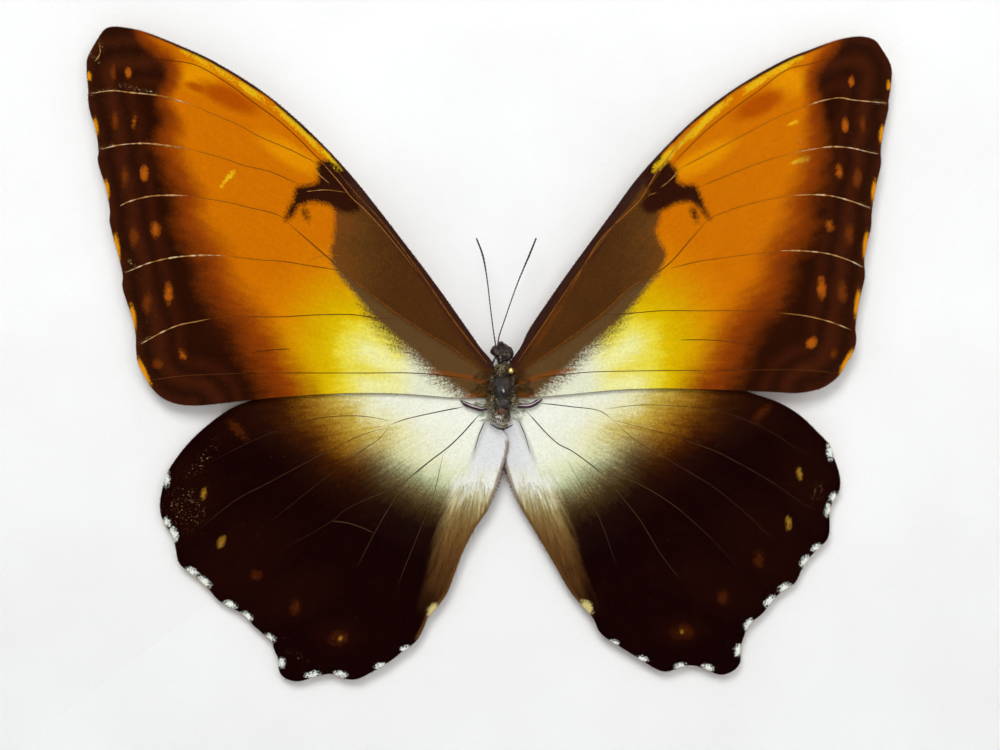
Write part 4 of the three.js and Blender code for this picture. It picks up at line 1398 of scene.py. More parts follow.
FOREWING_LEFT_MARKS = {
    "margin": [(73.4, 77), (72, 71.6), (69.4, 69), (66.6, 67), (66.2, 63), (68, 59), (66.4, 55), (68, 51),
      (66.6, 47), (65.2, 43), (63.4, 39), (63.4, 35), (61.6, 31), (58.6, 27), (58, 23), (56.2, 19),
      (53.2, 15), (51.2, 11), (49.2, 7), (46.8, 3), (44, -3), (70, -12), (90, 10), (95, 60), (86, 82)],
    "cell": [(30.4, 47), (32.8, 44.6), (35.4, 41.6), (36.8, 40), (33.8, 38), (33.4, 36), (33.4, 33.4),
      (33.8, 30.2), (34.2, 27.4), (33.2, 25.2), (30.2, 21.2), (28.4, 18.6), (26.4, 15.4), (22.4, 10.9),
      (18.4, 7.8), (14.4, 4), (10.4, 1.2), (8.4, -0.4), (6, -1.8), (-2, -2.6), (-2, 14), (20, 40),
      (28, 50)],
    "olive": [(35, 27.4), (29, 22), (21.2, 16), (14.4, 11.6), (9.4, 8.4), (4, 4.6), (2, -4), (12, -4),
      (26, 8), (36, 22)],
    "bar": [(32.4, 47.4), (36.8, 46), (37, 42.4), (41, 41.6), (41.6, 39.6), (43.4, 34.8), (42, 35.4),
      (40.4, 37.6), (38, 38.4), (34.4, 37.8), (31.4, 36.2), (28, 37.4), (30, 42), (28, 46)],
    "white": [(3, -1), (14, 2), (21, 5.4), (27, 9)],
    "white_low": [(14, 1), (27, 1.6)],
    "amber": [(60.4, 63.6, 7, 6), (42, 48, 14, 4, 30)],
    "rust": [(54.8, 59.4, 12, 3.8, 24), (61, 61.4, 5, 1.8, 20)],
    "gleams": [(54.8, 43.2, 1, 3.4, 40), (34.4, 47.6, 6, 1.7, 48)],
    "smudges": [(39.2, 36.2, 1.6, 3.6, -25)],
    "gilt": [(63.8, 69), (59.4, 66.6), (56.4, 64.8), (52.4, 62), (48.8, 59.8), (46.4, 58.4), (43.4, 55.8),
      (40.4, 53.4), (36.8, 49.8), (34.4, 47.4), (32.6, 45.2)],
    "ember": [(5.6, -0.4, 4.4, 1.6, -8)],
    "ember_vein": [(3, 2.4), (6, 3.4), (10.4, 4.2), (14, 4.6)],
    "ember_line": [(36.4, 47), (32.4, 42.4), (30, 39.4), (27.4, 37), (24.4, 33.8), (20.4, 29), (14, 20),
      (8, 12), (3, 6)],
    "spots": [(74.8, 64.4, 0.8, 1.6), (73.6, 54.6, 1, 2.3), (71.5, 44.4, 1.1, 2.1), (69.2, 33.2, 1.4, 2.5),
      (66.6, 20.2, 1.2, 3), (63.8, 8.2, 1.3, 1.6, -35)],
    "faint_spots": [(77.8, 64.6, 1, 2.8), (77.4, 55, 1.2, 3), (75.4, 43.6, 1.4, 3.2), (73.6, 31.4, 1.6, 3.4),
      (71, 18.4, 1.6, 3.4), (68.8, 6.2, 1.6, 1.8)],
    "crescents": [(82.5, 63.8, 1, 1.8), (81.3, 53.6, 1.2, 3.8), (79.1, 41, 1.3, 4), (77, 29.2, 1.4, 7),
      (73.7, 16, 1.4, 7.2), (71.6, 4.6, 1.8, 5.4, -24)],
    "scuffs": [([(76.4, 62), (72.4, 61.1), (69, 60.4)], 0.12), ([(82.4, 60.3), (80, 60.8), (78, 61)], 0.15),
      ([(80.4, 49.3), (78, 50)], 0.1), ([(81.2, 72.6), (80.2, 69.6)], 0.12),
      ([(82.6, 68.4), (80.6, 66.6)], 0.12), ([(75, 24.6), (73.4, 25.8), (74.4, 26.8)], 0.15),
      ([(72.2, 10.2), (70.6, 11.6)], 0.15)],
    "front_from": lambda out: 5 + 0.62 * out if out < 70 else 70.5,
}
FOREWING_LEFT_VEINS = [
    Vein([(82, 60.4), (78, 60.9), (74.4, 60.5), (68.4, 59.8), (62.4, 58.2)], (0.82, 0.72)),
    Vein([(62.4, 58.2), (57.4, 56), (52.4, 53.8), (48.4, 51.6), (42.4, 49), (36.4, 46)], (0.5, 0.34)),
    Vein([(80, 49.2), (76.4, 50), (71.4, 50.3), (65.4, 49.6), (62.4, 49.1)], (0.82, 0.72)),
    Vein([(62.4, 49.1), (55.4, 47.2), (51.4, 45.8), (46.4, 44.6), (40.4, 42)], (0.46, 0.34)),
    Vein([(76.4, 37.8), (74.8, 38.6), (70.4, 39.7), (66.4, 39.9), (62.8, 39.8)], (0.82, 0.72)),
    Vein([(62.8, 39.8), (54.4, 38.4), (50.4, 37.4), (45.4, 36.2), (43.4, 35.2)], (0.44, 0.34)),
    Vein([(75, 24.6), (70.4, 26.4), (65.4, 27.5), (59.4, 27.9), (55.4, 27.8)], (0.82, 0.7)),
    Vein([(55.4, 27.8), (48.4, 27), (43.4, 26.6), (38.4, 25.8), (32.4, 24.9)], (0.42, 0.3)),
    Vein([(72.2, 10.2), (67.4, 12.8), (64.4, 14), (61.4, 14.6), (58.4, 15.2)], (0.8, 0.55)),
    Vein([(58.4, 15.2), (54.4, 15.6), (44.4, 15.6), (36.4, 16), (29.4, 16), (25.4, 15.4),
      (21.4, 15.2)], (0.3, 0.2)),
    Vein([(50.4, 8.4), (46, 9), (42, 9.2)], (0.1, 0.15)),
    Vein([(70, 3), (64, 3.8), (56, 4.2), (48, 4.4)], (0.3, 0.1)),
    Vein([(48, 4.4), (34.4, 4.4), (26.4, 4.4), (18.4, 4.4), (12.4, 4), (6.4, 3.2)], (0.12, 0.2)),
    Vein([(43.2, 34.8), (35.4, 28), (29, 22.4), (21.2, 16.4), (14.4, 12), (9.4, 9),
      (3.4, 4)], (0.34, 0.3), (0.12, 0.2)),
    Vein([(36.4, 47), (32.4, 42.4), (30, 39.4), (27.4, 37), (24.4, 33.8), (20.4, 29),
      (16.8, 24.4)], (0.6, 0.45), (0.08, 0.1)),
    Vein([(34.4, 46.6), (29.6, 40.8), (24, 34.6), (16, 24), (9, 14), (3, 6.4)], (0.3, 0.34), (0.12, 0.24)),
    Vein([(36.8, 44.2), (34.4, 42.2)], (0.7, 0.6), (0.06, 0.06)),
    Vein([(39, 40.6), (35, 40.9), (31, 40.4)], (0.7, 0.5), (0.06, 0.06)),
    Vein([(71, 67.6), (66, 66.8), (61.4, 66), (54.4, 62), (50.4, 59), (44.4, 54.6), (40.4, 51), (36.4, 47),
      (33.4, 44.8)], (0.12, 0.2)),
    Vein([(80.6, 70.2), (80.4, 68.4), (81.4, 66.8)], (0.8, 0.7), (0.06, 0.06)),
    Vein([(38.6, 26.8), (35.4, 27.8), (32, 27.8)], (0.5, 0.5), (0.05, 0.05)),
]
FOREWING_RIGHT_MARKS = {
    "margin": [(67.4, 76), (66.8, 70.6), (65.4, 68.6), (64.2, 67), (62, 63), (62.6, 59), (63, 55),
      (63.4, 51), (63, 47), (62.6, 43), (60.6, 39), (60.2, 35), (58.8, 31), (56, 27), (55.6, 23),
      (53.6, 19), (50.4, 15), (48.2, 11), (47, 7), (44.8, 3), (42, -3), (68, -12), (86, 10), (90, 60),
      (82, 82)],
    "cell": [(31.8, 37), (31.4, 34.6), (30.8, 32.4), (31.8, 30.2), (32.6, 28.6), (32.4, 26.6), (31.4, 24.6),
      (27.6, 19.8), (25.6, 16.6), (21.6, 11.6), (17.6, 8.5), (13.6, 4.4), (9.6, 1.2), (7.6, -0.6),
      (5.6, -1.8), (-2, -2.6), (-2, 14), (20, 42), (27, 50), (33, 47), (35, 42)],
    "olive": [(34, 26.6), (32.6, 25.2), (25.6, 21), (20.2, 16), (11.6, 9.4), (4.6, 4.6), (2, -4), (12, -4),
      (26, 8), (36, 22)],
    "bar": [(30.6, 48), (33.2, 46.6), (34.8, 44.8), (35.2, 42.4), (39, 41.6), (39.6, 40), (40.4, 37.6),
      (41.6, 35), (40.4, 35.8), (39, 37.6), (37.6, 38.4), (34.8, 38.2), (31.8, 36.6), (29.2, 36.2),
      (27.6, 38), (29.2, 41), (26.4, 45)],
    "white": [(3, -1), (14, 2.2), (20, 5.8), (25.6, 9.8)],
    "white_low": [(14, 1), (26, 2.2)],
    "amber": [(57, 62.6, 7, 6), (40, 47, 14, 4, 30)],
    "rust": [(51.4, 58, 11, 3.8, 26)],
    "gleams": [(59.9, 46.9, 4.4, 0.9, 18), (57.8, 54.2, 2.6, 0.8, 25), (32.6, 47.4, 6, 1.7, 50)],
    "smudges": [(38.4, 36, 1.6, 3.6, 20)],
    "gilt": [(59.6, 67.4), (57.6, 66.4), (54.6, 64.6), (50.6, 62.2), (47.6, 60.2), (44, 57.8), (41.6, 55.8),
      (38.6, 52.8), (35.6, 50), (31.8, 46)],
    "ember": [(4.8, -0.4, 4, 1.6, -8)],
    "ember_vein": [(3, 2.4), (6, 3.2), (10, 4.4), (14, 5)],
    "ember_line": [(37.6, 53), (33.6, 48), (30.6, 44), (27.6, 39), (24.6, 36), (19.6, 31), (13.6, 21),
      (8, 12), (3, 6)],
    "spots": [(69.8, 62.8, 0.8, 1.6), (68.6, 54, 0.9, 2), (67.4, 44.6, 1.1, 2.1), (65.4, 34, 1.5, 2),
      (63.8, 21.4, 1.3, 3), (61.8, 10.4, 1.4, 1.8, -30)],
    "faint_spots": [(72.2, 54, 1.2, 3), (71, 43.4, 1.4, 3), (69.4, 32.2, 1.6, 3.4), (68, 20.6, 1.6, 3.4),
      (66.2, 8.2, 1.6, 1.8)],
    "crescents": [(77.3, 62, 1, 1.8), (75.9, 52.2, 1.3, 3.4), (74.3, 41, 1.3, 4.4), (72.6, 30.2, 1.4, 5.8),
      (70.9, 18.6, 1.4, 6.6), (69, 6.6, 1.8, 5.2, -26)],
    "scuffs": [([(58.6, 46.4), (60, 46.8), (61.2, 47)], 0.25), ([(76.8, 58.4), (74.6, 58.7)], 0.15),
      ([(75.2, 48.3), (73.2, 48.7)], 0.12), ([(73.6, 37.4), (71.6, 38.2)], 0.12),
      ([(72, 25.6), (70.4, 26.5)], 0.12), ([(59.4, 50.9), (59.9, 50.6)], 0.2)],
    "front_from": lambda out: 5 + 0.66 * out if out < 66 else 69.5,
}
FOREWING_RIGHT_VEINS = [
    Vein([(76.8, 58.4), (74.6, 58.6), (70, 59), (67.6, 59.4), (64, 58.8), (61, 57.8)], (0.82, 0.7)),
    Vein([(61, 57.8), (54, 55), (48, 51.8), (42, 48.6), (35, 44.9)], (0.46, 0.34)),
    Vein([(75.2, 48.2), (73.2, 48.6), (69.6, 49.4), (65.6, 49.6), (61.6, 49), (58.4, 48.4)], (0.82, 0.68)),
    Vein([(58.4, 48.4), (54, 47.2), (49, 45.4), (44, 43.4), (39.6, 41.6)], (0.46, 0.34)),
    Vein([(73.6, 37.4), (69.6, 38.8), (65.6, 39.8), (61.6, 40), (57.6, 39.8)], (0.82, 0.7)),
    Vein([(57.6, 39.8), (53, 39), (47, 37.4), (41.6, 35.4)], (0.44, 0.34)),
    Vein([(72, 25.6), (69.6, 26.8), (65.2, 28.2), (59.6, 28.8), (55.6, 28.8)], (0.82, 0.68)),
    Vein([(55.6, 28.8), (46, 27.6), (39, 26.6), (33.4, 25.2)], (0.42, 0.3)),
    Vein([(69.8, 13), (65.6, 14.6), (60.6, 15.8), (55.4, 16.4)], (0.85, 0.5)),
    Vein([(55.4, 16.4), (47, 16.8), (39.6, 16.8), (31.6, 16.8), (24.6, 16.2), (19.6, 16)], (0.3, 0.2)),
    Vein([(47.6, 10.4), (41, 11), (35.6, 11)], (0.1, 0.15)),
    Vein([(67, 4.4), (60, 5), (50, 5), (42, 4.9)], (0.3, 0.1)),
    Vein([(42, 4.9), (34, 4.9), (26, 4.8), (18, 4.6), (12, 4.1), (6.4, 3.4)], (0.12, 0.2)),
    Vein([(41.4, 35.4), (37.6, 31), (32.6, 25.6), (25.6, 21.4), (20.2, 16.4), (11.6, 10),
      (4.6, 5)], (0.34, 0.3), (0.12, 0.2)),
    Vein([(37.6, 53), (33.6, 48), (30.6, 44), (27.6, 39), (24.6, 36), (19.6, 31),
      (13.6, 21)], (0.6, 0.45), (0.08, 0.1)),
    Vein([(33.4, 47), (28.6, 40.8), (22.4, 34), (14.6, 23.4), (8, 13.6),
      (3, 6.4)], (0.3, 0.34), (0.12, 0.24)),
    Vein([(30.8, 40.4), (29.2, 39.8)], (0.7, 0.6), (0.06, 0.06)),
    Vein([(35.2, 44.6), (33, 42.4), (31.6, 41.4)], (0.7, 0.6), (0.06, 0.06)),
    Vein([(66, 67.4), (61, 66), (57, 65), (51, 60.6), (46, 57), (41, 53), (37, 49.2),
      (33.4, 45.4)], (0.12, 0.2)),
]

HINDWING_LEFT_MARKS = {
    "light": [(39, 9), (37.8, -1), (36.6, -3.6), (34.4, -5.6), (32.4, -9), (29, -11.2), (25.2, -13.2),
      (22.4, -15.8), (18.6, -18), (15, -19.8), (12, -21.4), (6, -22.6), (-4, -24), (-12, -10), (-12, 9)],
    "ash": [(28, -12), (24, -30), (4, -34), (-4, -14), (10, -13), (20, -11)],
    "down": [(9.4, -16.4), (10.4, -20), (11.6, -25), (12.8, -29), (13.8, -33), (15, -38), (15.8, -43.6),
      (10, -46), (-4, -30), (-6, -16)],
    "fold": [(3.2, -5.4), (4.8, -9), (5.4, -11.5), (6.4, -15), (7.6, -18.4), (6, -21), (-4, -21), (-4, -4)],
    "crease": [(3.2, -5.4), (4.8, -9.2), (5.4, -11.2), (6.8, -15.6), (8.2, -18.6)],
    "umber": [(52, -5.6, 16, 6, -32), (52, -33, 20, 14, -35), (42, -40, 18, 9, -20), (62, -20, 10, 16),
      (33, -48, 10, 6)],
    "rust": [(52.9, -7, 1.4, 4, -42), (49.4, -36, 1.6, 1.6), (41.4, -42.6, 1.6, 2.2), (32.6, -48.8, 2.6, 2)],
    "spots": [(59.8, -19.8, 0.8, 1.7, 8), (56.2, -29.4, 1, 1.8, 24), (32.4, -48.8, 0.6, 0.7)],
    "notches": [(67.2, -16.9, 1.2, 2.8), (67.2, -25.6, 1.8, 1.6), (65.9, -27.8, 2, 2.6),
      (62.1, -35.4, 2.4, 2), (59.7, -37.4, 2.6, 2.4), (54.4, -42, 2.4, 1.6), (51.3, -44.5, 2.2, 2),
      (46.6, -48.8, 2.2, 1.6), (44, -53.7, 1.8, 1.8), (38, -56, 2.6, 1.6), (32.3, -55.9, 2.4, 1.4),
      (24.2, -54.3, 2.4, 1.2), (19.2, -50.8, 2, 1)],
    "tail_patch": [(13.7, -43.4, 2.2, 3, 20)],
    "scuffs": [(63.8, -23, 7, 7), (41, -52.2, 3.8, 1, 28), (60, -13, 7, 2, -50)],
}
HINDWING_LEFT_VEINS = [
    Vein([(58.4, -13.4), (50.4, -9.4), (43.4, -6.6), (37, -4.7), (28.4, -4.2),
      (22, -5.2)], (0.16, 0.24), (0.05, 0.07)),
    Vein([(60.4, -26.6), (53.2, -21), (46.4, -17.4), (34.4, -11), (28, -8),
      (22.6, -6.4)], (0.26, 0.32), (0.05, 0.07)),
    Vein([(46, -25), (38.4, -19), (27.8, -11), (24.4, -8.6), (22.4, -6)], (0.2, 0.28), (0.05, 0.07)),
    Vein([(22.4, -6), (19.8, -5), (13, -3.4), (7.8, -2.4)], (0.4, 0.1), (0.07, 0.12)),
    Vein([(44, -31), (38, -27.6), (34, -25.2), (31.4, -23), (26, -20.4), (20.4, -18),
      (18.8, -16.8)], (0.1, 0.36), (0.05, 0.07)),
    Vein([(34, -25.2), (30.8, -25.6), (27.8, -26.6), (25.4, -27.8)], (0.5, 0.4), (0.05, 0.05)),
    Vein([(29, -34.4), (24.4, -25.6), (20.6, -19.4), (18.8, -16.6)], (0.3, 0.35), (0.05, 0.07)),
    Vein([(18.8, -16.8), (14.4, -13.2), (9.8, -9.6), (4.4, -3.8)], (0.12, 0.14), (0.11, 0.12)),
    Vein([(21, -38.4), (17, -28.4), (13.8, -20.4), (11.8, -12)], (0.3, 0.35), (0.05, 0.06)),
    Vein([(5.6, -11.6), (4.6, -8), (3.4, -5.2)], (0.05, 0.2), (0.05, 0.12)),
]
HINDWING_RIGHT_MARKS = {
    "light": [(38.4, 9), (37, -1), (35, -3.2), (33.2, -5.2), (31.4, -7.4), (28.6, -9.4), (26, -11.2),
      (23.4, -13.8), (20.6, -16), (17.2, -18.6), (13.6, -20.4), (8, -22.6), (-4, -24), (-12, -10),
      (-12, 9)],
    "ash": [(29, -10), (26, -30), (4, -34), (-4, -14), (11, -12), (20, -10)],
    "down": [(10, -16.4), (11.2, -20), (12.6, -25), (14, -29), (15.2, -33), (16.6, -38), (18.4, -43.6),
      (12, -46), (-4, -30), (-6, -16)],
    "fold": [(3.4, -5.4), (4.8, -9), (5.6, -11.5), (6.8, -15), (8, -18.4), (6, -21), (-4, -21), (-4, -4)],
    "crease": [(3.2, -5), (4.8, -8.8), (5.8, -11.2), (7.2, -15.6), (8.6, -18.6)],
    "umber": [(52, -3.6, 16, 6, -28), (53, -30, 20, 14, -38), (43, -38, 18, 9, -25), (61, -17, 10, 16),
      (36, -47, 10, 6)],
    "rust": [(52, -3.6, 1.3, 3.4, -46), (44.2, -40.6, 1.5, 2), (51.4, -32.8, 1.6, 2.2),
      (36.2, -47.4, 3, 2.2)],
    "spots": [(59.6, -15.8, 0.9, 1.8, 10), (57.4, -25.8, 0.9, 2), (36, -47.4, 0.6, 0.7)],
    "notches": [(65.7, -11.5, 1.4, 3), (66.5, -20.4, 1.8, 1.8), (65.3, -22.9, 1.6, 2.4),
      (63, -30.6, 2.2, 1.4), (60.9, -33.4, 2.4, 2.2), (56.6, -38.6, 2.4, 1.8), (53.8, -41.3, 2.6, 2.2),
      (49.6, -46.1, 2.2, 2.2), (47.2, -51.2, 2, 2.2), (41.3, -54.6, 2, 1.8), (35.8, -54.3, 2.2, 1.2),
      (28, -52.9, 2.4, 1.2), (22.4, -49.6, 1.8, 1)],
    "tail_patch": [(16.9, -42.6, 2.2, 3, 25)],
    "scuffs": [(63.4, -19.4, 3, 3)],
}
HINDWING_RIGHT_VEINS = [
    Vein([(62, -12), (58.6, -10.4), (54.6, -7.8), (50.6, -5.8), (46.6, -4.2), (42.6, -3), (37.6, -2.4),
      (27.6, -2), (20.6, -2.8)], (0.2, 0.28), (0.05, 0.07)),
    Vein([(62.6, -23), (58.6, -20.6), (54.6, -17.8), (50.6, -15.4), (46.6, -13.2), (42.6, -11.2),
      (37.6, -9.4), (34.6, -8.2), (27.6, -6.4), (22.2, -5)], (0.26, 0.32), (0.05, 0.07)),
    Vein([(54.6, -29), (51.6, -26.4), (49.2, -24), (46.6, -21.8), (42.6, -18.6), (37.6, -15.5), (31.6, -12),
      (26.6, -9), (22.2, -5)], (0.24, 0.32), (0.05, 0.07)),
    Vein([(22.2, -5), (19.6, -3.2), (13.6, -2.3), (7.6, -1.6)], (0.4, 0.1), (0.07, 0.12)),
    Vein([(47.6, -35), (45.2, -32.2), (42.6, -29.4), (39.6, -26.6), (34.8, -22.4), (29.6, -19),
      (24.6, -16.6), (20.6, -15.8)], (0.15, 0.45), (0.05, 0.07)),
    Vein([(35.6, -37), (31.6, -31.6), (27.6, -25), (22, -18), (20, -15.6)], (0.3, 0.35), (0.05, 0.07)),
    Vein([(20, -15.6), (14, -11.2), (11, -9.6), (4.8, -3.2)], (0.12, 0.14), (0.11, 0.12)),
    Vein([(23, -34.4), (19.6, -25), (17.6, -21), (13, -13)], (0.3, 0.35), (0.05, 0.06)),
    Vein([(5.6, -11.6), (4.6, -8), (3.4, -5.2)], (0.05, 0.2), (0.05, 0.12)),
]


# The body

# Lumps as across, up, lift, three radii, tone, gloss and redness
HEAD = [(0.05, 8.35, 7, 1.5, 1.6, 1.6, 0.02, 0.4, 0), (-1.3, 8.8, 7.6, 0.95, 1.1, 1.1, 0, 0.8, 0.1),
    (0.85, 8.3, 7.7, 1.38, 1.6, 1.3, 0, 0.8, 0.05), (-0.75, 8.3, 8.5, 0.18, 0.4, 0.25, 0.8, 0.2, 0),
    (-0.35, 7.5, 8.5, 0.3, 0.16, 0.25, 0.85, 0.2, 0), (-0.2, 10.1, 7.3, 0.5, 0.5, 0.5, 0.02, 0.3, 0),
    (0.45, 9.9, 7.2, 0.7, 0.45, 0.5, 0.02, 0.3, 0), (0.1, 6.8, 7.2, 1, 0.7, 1, 0.05, 0.2, 0)]
THORAX = [(0.1, 4.9, 7.2, 1.7, 1.5, 1.7, 0.52, 0.1, 0), (0, 1.6, 7, 2, 2.9, 2.7, 0.04, 0.5, 0),
    (-1, 2.6, 7.5, 1, 1.7, 2, 0.12, 0.6, 0), (1, 2.6, 7.5, 1, 1.7, 2, 0.1, 0.6, 0),
    # The small lump at lift 9.6, tone 1.2, is a painted highlight: a blue-white glint on the glossy thorax.
    (0.3, 0.4, 8.7, 0.6, 1.2, 1, 0, 1, 0), (0.3, 1, 9.6, 0.26, 0.75, 0.35, 1.2, 1, 0),
    (0, -1.6, 6.9, 2, 2.3, 2.5, 0.12, 0.4, 0), (0.7, -1.8, 8.4, 1, 1.1, 1.1, 0, 0.8, 0),
    (-0.1, -3.1, 8.2, 0.75, 0.75, 1.1, 0.2, 0.5, 0.9), (-0.9, -4.5, 7, 1.6, 1.2, 2, 0.9, 0.5, 0),
    (0.6, -4.6, 7.1, 1.1, 1, 1.7, 0.7, 0.5, 0), (1.1, -3.9, 8.1, 0.5, 0.9, 0.8, 0.02, 0.8, 0),
    (0, -5.6, 6.4, 1.3, 0.8, 1.3, 0.85, 0.3, 0.1), (-2, 2.4, 7.2, 0.8, 1.8, 1.2, 0.28, 0.2, 0.3),
    (2.1, 2.4, 7.2, 0.8, 1.8, 1.2, 0.28, 0.2, 0.3), (-2.1, -1.2, 6.9, 0.9, 1.9, 1.4, 0.6, 0.2, 0),
    (2.2, -1.2, 6.9, 0.9, 1.9, 1.4, 0.62, 0.2, 0), (0, 0, 5, 2, 4.6, 1.6, 0.3, 0.1, 0)]
# Ovals of hair as outwards, up, half width and half height
TUFTS = {
    "forewing": [(3.6, 0.6, 2.6, 1.2), (3.6, 3, 1.8, 2)],
    "hindwing": [(3, -3.4, 1.3, 2), (4, -1.8, 1.4, 0.9), (5, -20, 4.6, 3), (8, -26, 4.4, 6),
        (11.6, -34.5, 3.2, 7)],
}
# Limbs and struts as across, up and lift
ANTENNAE = {
    "left": [(-1.2, 9.6, 7.8), (-1.6, 12, 8), (-2.2, 16.5, 8.3), (-3.1, 24, 8.6), (-3.9, 28, 8.7),
        (-5.1, 31.2, 8.7)],
    "right": [(-0.9, 9.6, 7.8), (-0.6, 11.6, 8), (0.4, 14.6, 8.3), (3, 22, 8.6), (5.5, 28, 8.7),
        (6.8, 31.2, 8.7)],
}
LEGS = {
    "fore": [(0.8, 3.6, 4), (2.2, 5.2, 2.9), (1.4, 7.4, 2.5), (0.8, 9, 2.6)],
    "mid": [(1.1, 0.6, 3.4), (6.2, 3.2, 2.4), (4, -4.8, 1.8), (5.2, -8.6, 1)],
    "hind": [(1.1, -2.4, 3.4), (5.6, -6.4, 2.3), (7.4, -11.2, 1.6), (9.4, -14.6, 0.9)],
}
STRUTS = [
    [(-8.2, -1, 6.3), (-7.4, -1.7, 6.6), (-5.6, -2.4, 6.9), (-4.2, -2.8, 6.9), (-3, -2.6, 6.8)],
    [(8, -0.8, 6.3), (7.2, -1.3, 6.6), (5.6, -2.1, 6.9), (3.8, -2.2, 6.9), (2.8, -2.2, 6.8)],
]
BROKEN_RIM = [(-2.4, -5.6, 7.4), (-1.4, -6.3, 7.6), (-0.1, -6.8, 7.6), (1, -6.5, 7.6), (2.2, -5.9, 7.4)]


@dataclass
class InsectBody:
    """Head, thorax, antennae, legs, pin, wing-base struts and hair."""

    shell: Material
    limb: Material
    hair: Material

    def build_lumps(self, node: str, lumps: Path, voxel: float) -> Piece:
        """Melts lumps into one shell.

        Args:
            node: The node that it stands for.
            lumps: The lumps.
            voxel: The size of its faces.

        Returns:
            The piece.
        """
        work = bmesh.new()
        for lump in lumps:
            for vertex in bmesh.ops.create_icosphere(work, subdivisions=4, radius=1.0)["verts"]:
                spot = np.array(lump[:3]) + np.array(lump[3:6]) * np.array(vertex.co)
                vertex.co = world(*spot[:, None])[0]
        bmesh.ops.recalc_face_normals(work, faces=work.faces)
        piece = detail_of(node, work)
        remesh = piece.modifiers.new("Shell", "REMESH")
        remesh.mode = "VOXEL"
        remesh.voxel_size = voxel * MM
        soften = piece.modifiers.new("Soften", "SMOOTH")
        soften.factor = 0.5
        soften.iterations = 4
        finish_modifiers(piece)
        places, normals = vertices_of(piece.data)
        relief = np.array([noise.fractal(Vector(place) * 0.9, 0.5, 2.1, 4) for place in places])
        places += SHELL_RELIEF * relief[:, None] * normals
        piece.data.vertices.foreach_set("co", (places * MM).ravel())
        at = np.stack([places[:, 0], places[:, 2] - SPECIMEN_Z, BOARD_Y - places[:, 1]], axis=1)
        nearness = np.stack([
            np.exp(-4 * (np.linalg.norm((at - lump[:3]) / lump[3:6], axis=1) - 1)) for lump in lumps])
        nearness /= nearness.sum(axis=0)
        for index, name in ((6, "tone"), (7, "gloss"), (8, "red")):
            paint(piece.data, name, nearness.T @ np.array([lump[index] for lump in lumps]))
        shade_smooth(piece, 180)
        hand_over(piece, "insect_body", node, material=self.shell)
        return piece

    def limb_line(self, path: Path, widths: list[float], tones: tuple[float, float] = (0, 0),
                  rings: float = 0.0) -> Line:
        """A jointed limb along a path of across, up and lift.

        Args:
            path: What the limb runs through.
            widths: Half widths at even shares of the path.
            tones: Tones at its two ends.
            rings: The distance between joints, or 0 for none.

        Returns:
            Places, half widths and tones.
        """
        at = curve_through(path, LIMB_STEP)
        share = np.linspace(0, 1, len(at))
        width = np.interp(share, np.linspace(0, 1, len(widths)), widths)
        if rings:
            width = width * (1 - 0.16 * np.cos(2 * np.pi * np.arange(len(at)) * LIMB_STEP / rings))
        return world(*at.T), width, tones[0] + (tones[1] - tones[0]) * share

    def build_limb(self, name: str, lines: list[Line], *nodes: str) -> None:
        """Makes tubes along lines and hands them over."""
        hand_over(grow_tubes(name, lines, self.limb, 8), "insect_limb", *nodes)

    def build_limbs(self) -> None:
        """Makes the antennae, the legs and the struts at the wing bases, each strut with a pale painted
        highlight along its top.
        """
        limbs = {}
        for word, path in ANTENNAE.items():
            limbs["antenna_" + word] = self.limb_line(
                path, [0.15, 0.12, 0.12, 0.12, 0.14, 0.2, 0.16], (0.4, 0.05), 0.75)
        for pair, path in LEGS.items():
            for side in Side:
                turned = [(side.value * out, up, lift) for out, up, lift in path]
                limbs[f"leg_{pair}_{side.word}"] = self.limb_line(
                    turned, [0.42, 0.34, 0.3, 0.24, 0.2, 0.16, 0.1], (0.2, 0.3))
        for node, line in limbs.items():
            self.build_limb(node + "_detail", [line], node)
        ring = [(-1.65 + 0.36 * math.cos(turn), -4.1 + 0.36 * math.sin(turn), 9.02)
                for turn in np.linspace(0, 2 * math.pi, 13)]
        # The thin pale tubes along the tops of the struts are a painted highlight on the glossy struts.
        highlight_ridges = [[(across, up + 0.16, lift + 0.34) for across, up, lift in path] for path in STRUTS]
        self.build_limb("wing_base_struts", [
            *(self.limb_line(path, [0.2, 0.5, 0.46, 0.48, 0.4], (0.1, 0)) for path in STRUTS),
            self.limb_line(BROKEN_RIM, [0.06, 0.16, 0.2, 0.16, 0.06]),
            self.limb_line(ring, [0.09, 0.09]),
            *(self.limb_line(path, [0.04, 0.12, 0.16, 0.14, 0.06], (0.95, 0.85)) for path in highlight_ridges)])

    def build_pin(self) -> None:
        """Makes the insect pin with its round brass head."""
        head, middle = 0.62, -9.6
        turns = [math.pi * step / 9 for step in range(1, 9)]
        profile = [(0, 4), (0.1, 3.7), (0.22, 3), (0.24, -9.1)]
        profile += [(head * math.sin(turn), middle + head * math.cos(turn)) for turn in turns]
        profile.append((0, middle - head))
        piece = lathe("pin", profile, (1.75, BOARD_Y, SPECIMEN_Z + 4.85), 24)
        shade_smooth(piece, 60)
        brass = Metal(name="Brass", bright=(226, 196, 120), dull=(170, 134, 66)).build()
        hand_over(piece, "pin_brass", "pin", material=brass)

    def scatter(self, rng: np.random.Generator, patches: Path, count: int) -> Array:
        """Scatters points in ovals.

        Args:
            rng: The random generator.
            patches: Across, up, half width and half height of each oval.
            count: How many points each oval has.

        Returns:
            The points, one to a row.
        """
        angle = rng.uniform(0, 2 * np.pi, (len(patches), count))
        reach = np.sqrt(rng.uniform(0, 1, (len(patches), count)))
        ovals = np.array(patches)
        across = ovals[:, 0:1] + ovals[:, 2:3] * reach * np.cos(angle)
        up = ovals[:, 1:2] + ovals[:, 3:4] * reach * np.sin(angle)
        return np.stack([across.ravel(), up.ravel()], axis=1)

